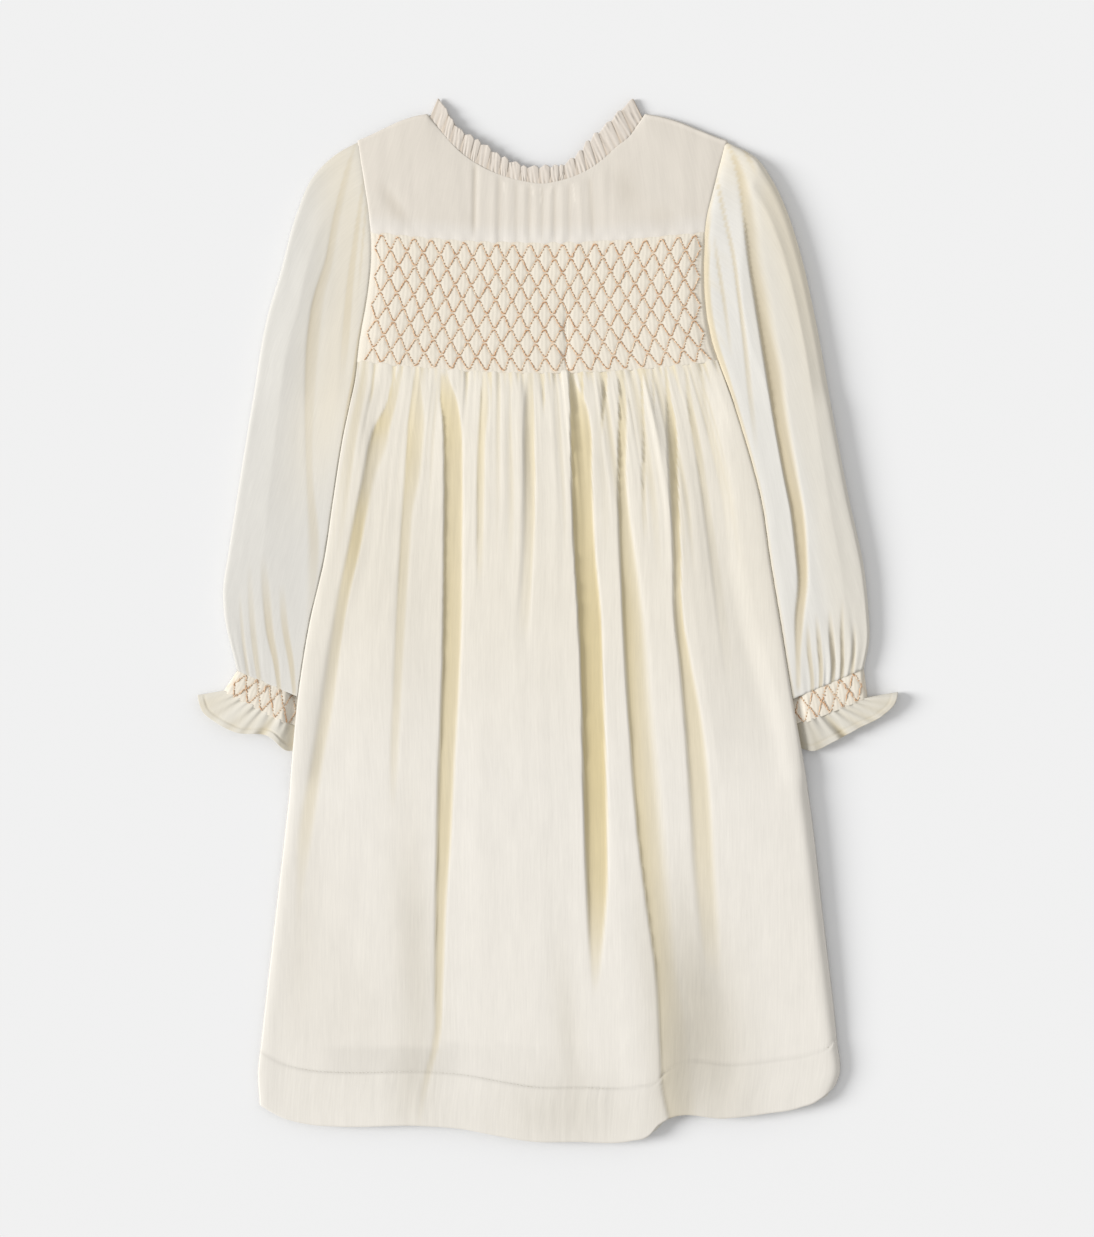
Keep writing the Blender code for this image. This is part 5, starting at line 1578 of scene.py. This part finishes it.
def cuff_height(side, share, step, x, y):
    """Outer height of a cuff, which puffs up in each diamond, and how full the puff is there."""
    width = np.hypot(*np.subtract(*CUFF_TOP[side]))
    from_side = outside_distance(x, y, side)
    rise = round_edge(share * width, CUFF_ROUND) * ease((from_side - EDGE_STRIP) / CUFF_ROUND)
    across = (share - 0.06) / 0.88 * 2 * CUFF_DIAMONDS
    c = across % 2.0
    r = np.clip(step, 0.0, 1.0) * 2.0
    reach = np.minimum(np.abs(c - 1.0) + np.abs(r - 1.0), np.minimum(c, 2.0 - c) + np.minimum(r, 2.0 - r))
    puff = np.clip(1.0 - reach ** 2.4, 0.0, 1.0) ** 0.7
    return STRIP_HEIGHT + (CUFF_LOFT - 0.2 + CUFF_PUFF * puff) * rise, puff


def make_cuff(side, name, node):
    """Smocked cuff band."""
    steps = np.linspace(-0.06, 1.04, 26)
    share, step = np.meshgrid(TOP_SHARES, steps)
    plan = cuff_place(side, share, step)
    width = np.hypot(*np.subtract(*CUFF_TOP[side]))
    z, puff = cuff_height(side, share, step, plan[..., 0], plan[..., 1])
    z = edge_fold(share * width, (1 - share) * width, z)
    z = z - 1.0 * (1.0 - ease((step + 0.06) / 0.28)) - 0.7 * (1.0 - ease((1.04 - step) / 0.22))
    over = np.concatenate([plan, z[..., None]], axis=-1)
    share_under, step_under = np.meshgrid(UNDER_SHARES, steps)
    below = cuff_place(side, share_under, step_under)
    from_edge = np.minimum(share_under, 1 - share_under) * width
    low = FOLD_MIDDLE * (1 - round_edge(from_edge, FOLD_RADIUS))
    low = low + 0.25 * (1.2 + 0.8 * np.sin(2 * np.pi * 12 * share_under))
    under = np.concatenate([below, low[..., None]], axis=-1)
    points = np.concatenate([over, under], axis=1)
    count = np.concatenate([TOP_SHARES, UNDER_SHARES]) * CUFF_DIAMONDS * PLEATS_PER_DIAMOND
    full = np.concatenate([0.25 + 0.45 * puff, np.full(under.shape[:2], 0.5)], axis=1)
    pleats = np.stack([np.broadcast_to(count, full.shape), full], axis=-1)
    # Painted warm shade where the cloth is pulled in between the puffs
    fold = np.concatenate([0.4 * (1 - puff) ** 2.0, np.zeros(under.shape[:2])], axis=1)
    faces = grid_faces(*points.shape[:2], wrap=True)
    if side == PLUS:
        faces = faces[:, ::-1]
    piece = new_mesh(name, points, faces, smocked_cloth, {"cloth": along_grid(points), "pleats": pleats},
                     {"fold": fold})
    add_wall(piece, 0.7)
    return put_on(piece, "smocked_cloth", node)


def make_cuff_stitches(side, name):
    """Two zigzags of peach stitches on a cuff."""
    begin, end = lattice(2 * CUFF_DIAMONDS, 2, spread=0.07, reach=0.15)
    shift = np.random.default_rng(64 + side).normal(0.0, 0.07, begin.shape)
    both = []
    for places in (begin + shift, end - shift):
        share = 0.06 + 0.88 * places[:, 0] / (2 * CUFF_DIAMONDS)
        step = places[:, 1] / 2.0
        plan = cuff_place(side, share, step)
        z, _ = cuff_height(side, share, step, plan[:, 0], plan[:, 1])
        z = z - 1.0 * (1.0 - ease((step + 0.06) / 0.28)) - 0.7 * (1.0 - ease((1.04 - step) / 0.22))
        both.append(np.concatenate([plan, (z + 0.3)[:, None]], axis=-1))
    piece = stitches(name, both[0], both[1], 0.40, embroidery_thread, 66 + side, sides=5, rings=4)
    return put_on(piece, "smocked_cloth")


FRILL_FOLDS = (
    # share across the frill, half width as a share, height in millimetres
    ((0.10, 0.07, -1.2), (0.22, 0.05, -0.8), (0.40, 0.05, -1.0), (0.52, 0.04, -0.9), (0.66, 0.045, -2.6),
     (0.86, 0.05, -1.2)),
    ((0.10, 0.05, -1.0), (0.20, 0.04, -1.2), (0.31, 0.04, -1.3), (0.42, 0.04, -1.2), (0.58, 0.035, -3.2),
     (0.80, 0.06, -1.2)),
)


def make_cuff_frill(side, name, node):
    """Flared frill: waves that open towards its free edge, with a narrow turned hem."""
    steps = np.concatenate([[-0.08], np.linspace(0.0, 1.0, 34)])
    ends = np.asarray(CUFF_FOOT[side], float)

    def plan_of(shares):
        head = ends[0] + (ends[1] - ends[0]) * shares[:, None]
        free = smooth_path(FRILL_EDGES[side], shares)
        return head[None] + (free - head)[None] * steps[:, None, None], np.linalg.norm(free - head, axis=1)

    plan, lengths = plan_of(TOP_SHARES)
    x = plan[..., 0]
    y = plan[..., 1]
    step = np.clip(steps, 0, 1)[:, None]
    shares = TOP_SHARES[None, :]
    widths = np.hypot(*(plan[:, 0] - plan[:, -1]).T)[:, None]
    from_side = outside_distance(x, y, side)
    rise = round_edge(shares * widths, CUFF_ROUND) * ease((from_side - EDGE_STRIP) / CUFF_ROUND)
    folds = np.zeros_like(x)
    for middle, half_width, height in FRILL_FOLDS[side]:
        folds = folds + height * bell(shares - middle, half_width) * (0.35 + 0.65 * step)
    gathers = 0.6 * np.sin(2 * np.pi * 11 * shares)
    gathers = gathers + 0.5 * wander(shares * 60, step * 30, 2.2, 40.0, 91 + side)
    gathers = (1 - step) ** 1.5 * gathers
    cloth = CUFF_LOFT * (1 - step) + (FRILL_HEIGHT - 0.6) * step + folds + gathers
    from_free = (1 - steps)[:, None] * lengths[None, :]
    cloth = cloth + 0.35 * ease((4.2 - from_free) / 0.8) - 0.3 * bell(from_free - 4.4, 0.8)
    cloth = cloth + 0.35 * wander(shares * 60, step * 30, 6.0, 14.0, 93 + side)
    z = STRIP_HEIGHT + np.maximum(cloth, 0.25) * rise
    z = edge_fold(shares * widths, (1 - shares) * widths, z)
    z[0] -= 0.6
    over = np.concatenate([plan, z[..., None]], axis=-1)
    below, _ = plan_of(UNDER_SHARES)
    from_edge = np.minimum(UNDER_SHARES, 1 - UNDER_SHARES)[None, :] * widths
    low = np.broadcast_to(FOLD_MIDDLE * (1 - round_edge(from_edge, FOLD_RADIUS)) + 0.25, below.shape[:2])
    under = np.concatenate([below, low[..., None]], axis=-1)
    # Painted warm shade in the frill's folds, along its narrow hem and next to the sleeve; painted shade in
    # the folds and next to the sleeve, and on the plus side over the whole frill, deeper next to the sleeve
    fold = np.clip(-folds / 3.0, 0, 1) * 0.7 + 0.12 * bell(from_free - 4.4, 1.0)
    fold = fold + 0.5 * ease((8.0 - from_side) / 8.0)
    shade = 0.25 * np.clip(-folds / 3.0, 0, 1) + 0.30 * ease((9.0 - from_side) / 9.0)
    if side == PLUS:
        shade = shade + 0.22 + 0.50 * ease((28.0 - from_side) / 24.0)
    return tube(name, over, under, np.clip(fold, 0, 1), shade, cuff_frill_cloth, "frill_cloth", node, side)


NECK_TABS = {"count": 21, "width": (0.55, 1.5), "size": (0.55, 1.35), "steps": 30}


def make_neck_frill():
    """Gathered frill round the neck: uneven overlapping tabs at the free edge, above a flat back part.

    Each tab has its own width and size. It rises slowly along the frill and drops steeply at its
    end, and it reaches further in while it rises. At the seam the tabs crowd into finer gathers.
    """
    seam_corners = np.array([NECK_SEAM_ENDS[0], *NECKLINE[1:-1], NECK_SEAM_ENDS[1]])
    rng = np.random.default_rng(101)
    count = NECK_TABS["count"]
    at = (np.arange(count) + 0.5) / count
    wider = 1.0 + 0.9 * ease((at - 0.66) / 0.3) + 0.5 * ease((0.22 - at) / 0.2)
    edges = np.concatenate([[0.0], np.cumsum(rng.uniform(*NECK_TABS["width"], count) * wider)])
    edges = edges / edges[-1]
    sizes = rng.uniform(*NECK_TABS["size"], count)
    inner = np.linspace(0.0, 1.0, NECK_TABS["steps"] + 1)[:-1]
    front = np.concatenate([(edges[:-1, None] + np.diff(edges)[:, None] * inner).ravel(), [1.0]])
    back = np.linspace(0.99, 0.01, 90)
    down = np.append(np.linspace(0.0, 1.0, 16), 1.13)
    still = np.zeros_like(front)
    ends = ease(np.minimum(front, 1 - front) / NECK_END_SHARE)
    size = np.append(np.repeat(sizes, NECK_TABS["steps"]), sizes[-1])
    along = np.append(np.tile(inner, count), 0.0)
    falling = ease((along - 0.80) / 0.20)
    tab = np.clip(along / 0.80, 0.0, 1.0) ** 0.8 * (1.0 - falling)
    phase = np.interp(front, edges, np.arange(count + 1))
    fine = np.sin(6 * np.pi * phase + 1.0 + 1.4 * wander(phase, still, 1.7, 1.0, 103))
    points = []
    fold = []
    shade = []
    for row in down:
        d = min(row, 1.0)
        free_share = 1.0 - d
        overlap = 1.8 * free_share * falling * (1.0 - falling) * 4.0 * size * ends
        place = np.clip(front + (overlap - 0.9 * free_share * tab * ends) / 200.0, 0.0, 1.0)
        seam = smooth_path(seam_corners, place)
        free = smooth_path(NECK_FRILL_EDGE, place)
        inward = free - seam
        reach = np.linalg.norm(inward, axis=1, keepdims=True)
        step_out = (3.0 * tab * size - 1.5) * free_share ** 1.3 * (0.35 + 0.65 * ends)
        plan = seam + inward * (1.0 - row + step_out / reach[:, 0])[:, None]
        height = FRONT_LOW + (NECK_SEAM_HEIGHT - FRONT_LOW) * ends + 0.25 * (1 - ends)
        tabs_up = (0.18 + 0.75 * free_share ** 0.8) * size * (tab - 0.4) * (0.6 + 0.4 * ends)
        gathers = 0.20 * fine * (0.15 + 0.85 * d ** 1.2)
        ripple = 0.35 * wander(front * 400, still + d * 12, 3.1, 5.0, 104) * (0.3 + 0.7 * free_share)
        z = height + tabs_up + gathers + ripple - (1.2 if row > 1.0 else 0.0)
        z[0] = 1.6
        z[-1] = 1.6
        under_seam = smooth_path(seam_corners, back)
        under_free = smooth_path(NECK_FRILL_EDGE, back)
        under = under_seam + (under_free - under_seam) * free_share
        low = 0.40 + 0.12 * (1 + np.sin(2 * np.pi * 36 * back)) * free_share
        points.append(np.concatenate([np.column_stack([plan, z]), np.column_stack([under, low])]))
        # Painted warm shade and painted shade in the hollows where one tab tucks under the next and between
        # the fine gathers
        hollow = np.clip(1.0 - tab * 2.6, 0, 1) * (0.35 + 0.30 * falling)
        hollow = hollow + 0.22 * np.clip(-fine, 0, 1) * d ** 1.5
        fold.append(np.concatenate([np.clip(hollow, 0, 1), np.zeros(len(back))]))
        shade.append(np.concatenate([0.30 * np.clip(hollow, 0, 1), np.zeros(len(back))]))
    points = np.stack(points)
    faces = grid_faces(*points.shape[:2], wrap=True)
    piece = new_mesh("neck_frill_cloth", points, faces, frill_cloth,
                     {"cloth": along_grid(points)}, {"fold": np.stack(fold), "shade": np.stack(shade)})
    add_wall(piece, 0.4)
    return put_on(piece, "frill_cloth", "neck_frill")


BACK_FOLDS = (
    # depth, half width, y of its top, y of its foot, x at the top, x at the foot
    (0.9, 5.0, 172, -180, -96.0, -142.0),
    (0.7, 4.0, 172, -60, -74.0, -96.0),
    (0.9, 5.5, 172, -300, -48.0, -66.0),
    (0.6, 3.5, 172, 20, -26.0, -31.0),
    (0.9, 5.0, 172, -250, -4.0, 4.0),
    (0.6, 3.5, 172, 0, 20.0, 27.0),
    (0.9, 5.5, 172, -320, 44.0, 62.0),
    (0.7, 4.0, 172, -80, 66.0, 92.0),
    (0.9, 5.0, 172, -200, 88.0, 132.0),
)


def make_skirt_back():
    """Skirt back that lies on the surface: long creases rise from it, and its sides ride over the sleeves."""
    edge = np.array([0.0, 1.2, 3.0, 6.0, 9.0, 12.0, 15.0, 18.0, 21.0, 25.0, 30.0])
    inner = np.linspace(0.0, 1.0, 132)[1:-1]
    levels = np.concatenate([np.linspace(BACK_WAIST_LINE["y"] - GAP, 60.0, 40),
                             np.linspace(60.0, -130.0, 50)[1:],
                             np.linspace(-130.0, HEM[0][1], 60)[1:]])
    low = side_x(levels, MINUS)[:, None]
    high = side_x(levels, PLUS)[:, None]
    x = np.concatenate([low + edge, low + 30 + (high - low - 60) * inner, high - edge[::-1]], axis=1)
    y = np.repeat(levels[:, None], x.shape[1], axis=1)
    last = ease((y + 300.0) / (HEM[0][1] + 300.0))
    y = y + (hem_y(x) + BACK_HEM_SHORTER - HEM[0][1]) * last
    x = inset_sides(x, y, GAP)
    under = lift(x, y)
    flat = 1 - ease(under / 1.5)
    across = (x - side_x(y, MINUS)) / (side_x(y, PLUS) - side_x(y, MINUS))
    crease = np.clip(streak(x, y, BACK_FOLDS), 0, 1.0)
    gather = 0.35 + 0.35 * np.cos(2 * np.pi * 32 * across) + 0.3 * wander(across * 300, y, 3.0, 50.0, 112)
    gather = ease((y - 128.0) / 44.0) * gather
    soft = 0.25 * (1 + wander(across * 330, y, 11.0, 160.0, 111))
    hem_line = y - hem_y(x) - BACK_HEM_SHORTER - HEM_DEPTH
    crease_height = 0.25 + np.clip(crease + gather, 0, 1.0) + soft * 0.6 + 0.3 * bell(hem_line, 1.2)
    low_z = under + flat * np.clip(crease_height, 0, 1.25)
    points = np.stack([x, y, low_z], axis=-1)
    fold = flat * np.clip(0.7 * crease + 0.5 * np.clip(gather, 0, 1), 0, 1)
    faces = grid_faces(*x.shape)[:, ::-1]
    piece = new_mesh("skirt_back_cloth", points, faces, back_cloth, {"cloth": along_grid(points)},
                     {"fold": fold})
    add_wall(piece, 0.7)
    return put_on(piece, "skirt_cloth", "skirt_back")


def make_back_bodice():
    """Back from shoulders to waist in two halves that part along the slit and join below it."""
    middle = BACK_SLIT["x"]
    neck_y = NECKLINE[6][1]
    halves = []
    for side in (MINUS, PLUS):
        corner = NECKLINE[0][0] if side == MINUS else NECKLINE[-1][0]
        neck_x = np.linspace(corner, middle, 46) if side == MINUS else np.linspace(middle, corner, 46)
        neck = np.stack([neck_x, table_line(neck_x, NECKLINE)], axis=-1)
        shoulders = body_columns(3, 18)
        top = np.concatenate([shoulders[:18], neck] if side == MINUS else [neck, shoulders[-18:]])
        shares = np.concatenate([np.linspace(0.0, 0.2, 18), np.linspace(0.2, 1.0, 56)[1:]])
        x, y = body_plan(top, shares, BACK_WAIST_LINE, drop=GAP)
        x = inset_sides(x, y, 1.6 * GAP)
        last = -1 if side == MINUS else 0
        column_x = x[:, last].copy()
        toward = ease(1.0 - np.abs(x - column_x[:, None]) / 40.0)
        x = x + (middle - column_x)[:, None] * toward
        y = y - GAP * (1 - np.linspace(0, 1, len(y)))[:, None]
        open_share = ease((y[:, last] - (neck_y - BACK_SLIT["length"])) / 6.0)
        part = BACK_SLIT["width"] / 2 * open_share[:, None] * ease(1.0 - np.abs(x - middle) / 12.0)
        x = x + (-part if side == MINUS else part)
        halves.append((x, y))
    points = []
    values = []
    faces = []
    first = 0
    for x, y in halves:
        reach = np.hypot(x - BUTTON["x"], y - BUTTON["y"])
        over_button = ease((BUTTON_LIFT["end"] - reach) / (BUTTON_LIFT["end"] - BUTTON_LIFT["full"]))
        rise = BUTTON_LIFT["height"] * over_button
        soft = 0.25 + 0.22 * (1 + wander(x, y, 12.0, 60.0, 121)) * 0.7
        gather = ease((205.0 - y) / 30.0) * (0.25 + 0.25 * np.cos(2 * np.pi * (x + 130) / 7.6))
        above_foot = y - (neck_y - BACK_SLIT["length"] - 4)
        bound = 0.35 * bell(np.abs(x - middle) - 4.0, 0.8) * ease(above_foot / 5.0)
        z = np.clip(soft + gather + bound, 0.0, 1.1)
        z = np.maximum(z, rise)
        points.append(np.stack([x, y, z], axis=-1).reshape(-1, 3))
        values.append((0.4 * gather + 0.8 * bound).reshape(-1))
        faces.append(grid_faces(*x.shape, first=first)[:, ::-1])
        first += x.size
    points = np.concatenate(points)
    places = points[:, :2] / 10.0
    piece = new_mesh("back_bodice_cloth", points, np.concatenate(faces), back_cloth,
                     {"cloth": places}, {"fold": np.concatenate(values)})
    weld(piece)
    add_wall(piece, 0.7)
    return put_on(piece, "bodice_cloth", "back_bodice")


def weld(piece):
    """Joins points of a mesh that lie on each other."""
    shape = bmesh.new()
    shape.from_mesh(piece.data)
    bmesh.ops.remove_doubles(shape, verts=shape.verts, dist=0.00001)
    shape.to_mesh(piece.data)
    shape.free()


def make_button():
    """Round button with a raised rim and four holes: a profile turned round its axis."""
    profile = np.array([
        # share of the radius, height
        (0.0, 0.95), (0.16, 0.95), (0.30, 0.95), (0.46, 0.98), (0.60, 1.05), (0.70, 1.25), (0.80, 1.45),
        (0.90, 1.45), (0.97, 1.25), (1.0, 0.9), (0.985, 0.4),
        (0.92, 0.12), (0.80, 0.05), (0.5, 0.05), (0.0, 0.05),
    ])
    angle = np.linspace(0.0, 2 * np.pi, 49)[:-1]
    radius = profile[:, :1] * BUTTON["radius"]
    x = radius * np.cos(angle)
    y = radius * np.sin(angle)
    z = np.repeat(profile[:, 1:], len(angle), axis=1)
    z = BUTTON["thickness"] - z
    for turn in (45, 135, 225, 315):
        hole = np.hypot(x - 1.25 * np.cos(np.radians(turn)), y - 1.25 * np.sin(np.radians(turn)))
        z = z + np.where(profile[:, 1:] > 0.5, 0.5 * bell(hole, 0.55), 0.0)
    points = np.stack([x + BUTTON["x"], y + BUTTON["y"], z], axis=-1)
    piece = new_mesh("pearl_button", points, grid_faces(*x.shape, wrap=True), button_material())
    weld(piece)
    turn_out(piece)
    return put_on(piece, "button", "back_button")


def make_hem_stitches():
    """Small stitches along the top of the front hem."""
    u = np.arange(0.006, 0.994, 0.0062)
    places = []
    for move in (0.0, 0.0040):
        at = u + move
        foot_x = HEM[0][0] * (1 - at) + HEM[-1][0] * at
        y = hem_y(foot_x) + HEM_DEPTH
        x = side_x(y, MINUS) * (1 - at) + side_x(y, PLUS) * at
        y = hem_y(x) + HEM_DEPTH
        z, _, _ = skirt_ground(x, y, at)
        places.append(np.stack([x, y, z + 0.08], axis=-1))
    piece = stitches("hem_stitches", places[0], places[1], 0.24, sewing_thread, 131, sides=4, rings=3)
    return put_on(piece, "skirt_cloth")


def set_stage():
    """Camera straight above, pale floor, a broad soft light from the left and even light all round."""
    scene = bpy.context.scene
    scene.view_settings.view_transform = "Standard"
    camera = bpy.data.cameras.new("camera")
    camera.sensor_fit = "VERTICAL"
    camera.sensor_height = 36.0
    distance = 2.4
    camera.lens = 36.0 * distance / 0.8659
    camera.clip_end = 20.0
    eye = bpy.data.objects.new("camera", camera)
    eye.location = (-0.0004, 0.0004, distance + 0.006)
    scene.collection.objects.link(eye)
    scene.camera = eye
    size = 6.0
    mesh = bpy.data.meshes.new("floor")
    mesh.from_pydata([(-size, -size, 0), (size, -size, 0), (size, size, 0), (-size, size, 0)], [],
                     [(0, 1, 2, 3)])
    floor = bpy.data.objects.new("floor", mesh)
    material = bpy.data.materials.new("pale_floor")
    material.use_nodes = True
    shader = material.node_tree.nodes["Principled BSDF"]
    shader.inputs["Base Color"].default_value = (0.80, 0.80, 0.80, 1.0)
    shader.inputs["Roughness"].default_value = 1.0
    shader.inputs["Specular IOR Level"].default_value = 0.0
    mesh.materials.append(material)
    scene.collection.objects.link(floor)
    sun = bpy.data.lights.new("key", "SUN")
    sun.energy = 3.5
    sun.angle = np.radians(24.0)
    key = bpy.data.objects.new("key", sun)
    toward = Vector((-0.90, 0.02, 0.40)).normalized()
    key.rotation_mode = "QUATERNION"
    key.rotation_quaternion = toward.to_track_quat("Z", "Y")
    scene.collection.objects.link(key)
    world = bpy.data.worlds.new("soft_room")
    world.use_nodes = True
    world.node_tree.nodes["Background"].inputs["Color"].default_value = (1.0, 1.0, 1.0, 1.0)
    world.node_tree.nodes["Background"].inputs["Strength"].default_value = 0.645
    scene.world = world


set_stage()
skirt_front = make_skirt_front()
yoke = make_front_yoke()
smocked_panel = make_smocked_panel()
smocking = make_smocking_stitches()
sleeve_right = make_sleeve(MINUS, "sleeve_right_cloth", "sleeve_right")
sleeve_left = make_sleeve(PLUS, "sleeve_left_cloth", "sleeve_left")
cuff_right = make_cuff(MINUS, "cuff_right_cloth", "cuff_right")
cuff_left = make_cuff(PLUS, "cuff_left_cloth", "cuff_left")
cuff_right_stitches = make_cuff_stitches(MINUS, "cuff_right_stitches")
cuff_left_stitches = make_cuff_stitches(PLUS, "cuff_left_stitches")
frill_right = make_cuff_frill(MINUS, "cuff_frill_right_cloth", "cuff_frill_right")
frill_left = make_cuff_frill(PLUS, "cuff_frill_left_cloth", "cuff_frill_left")
neck_frill = make_neck_frill()
skirt_back = make_skirt_back()
back_bodice = make_back_bodice()
make_button()
hem_stitches = make_hem_stitches()
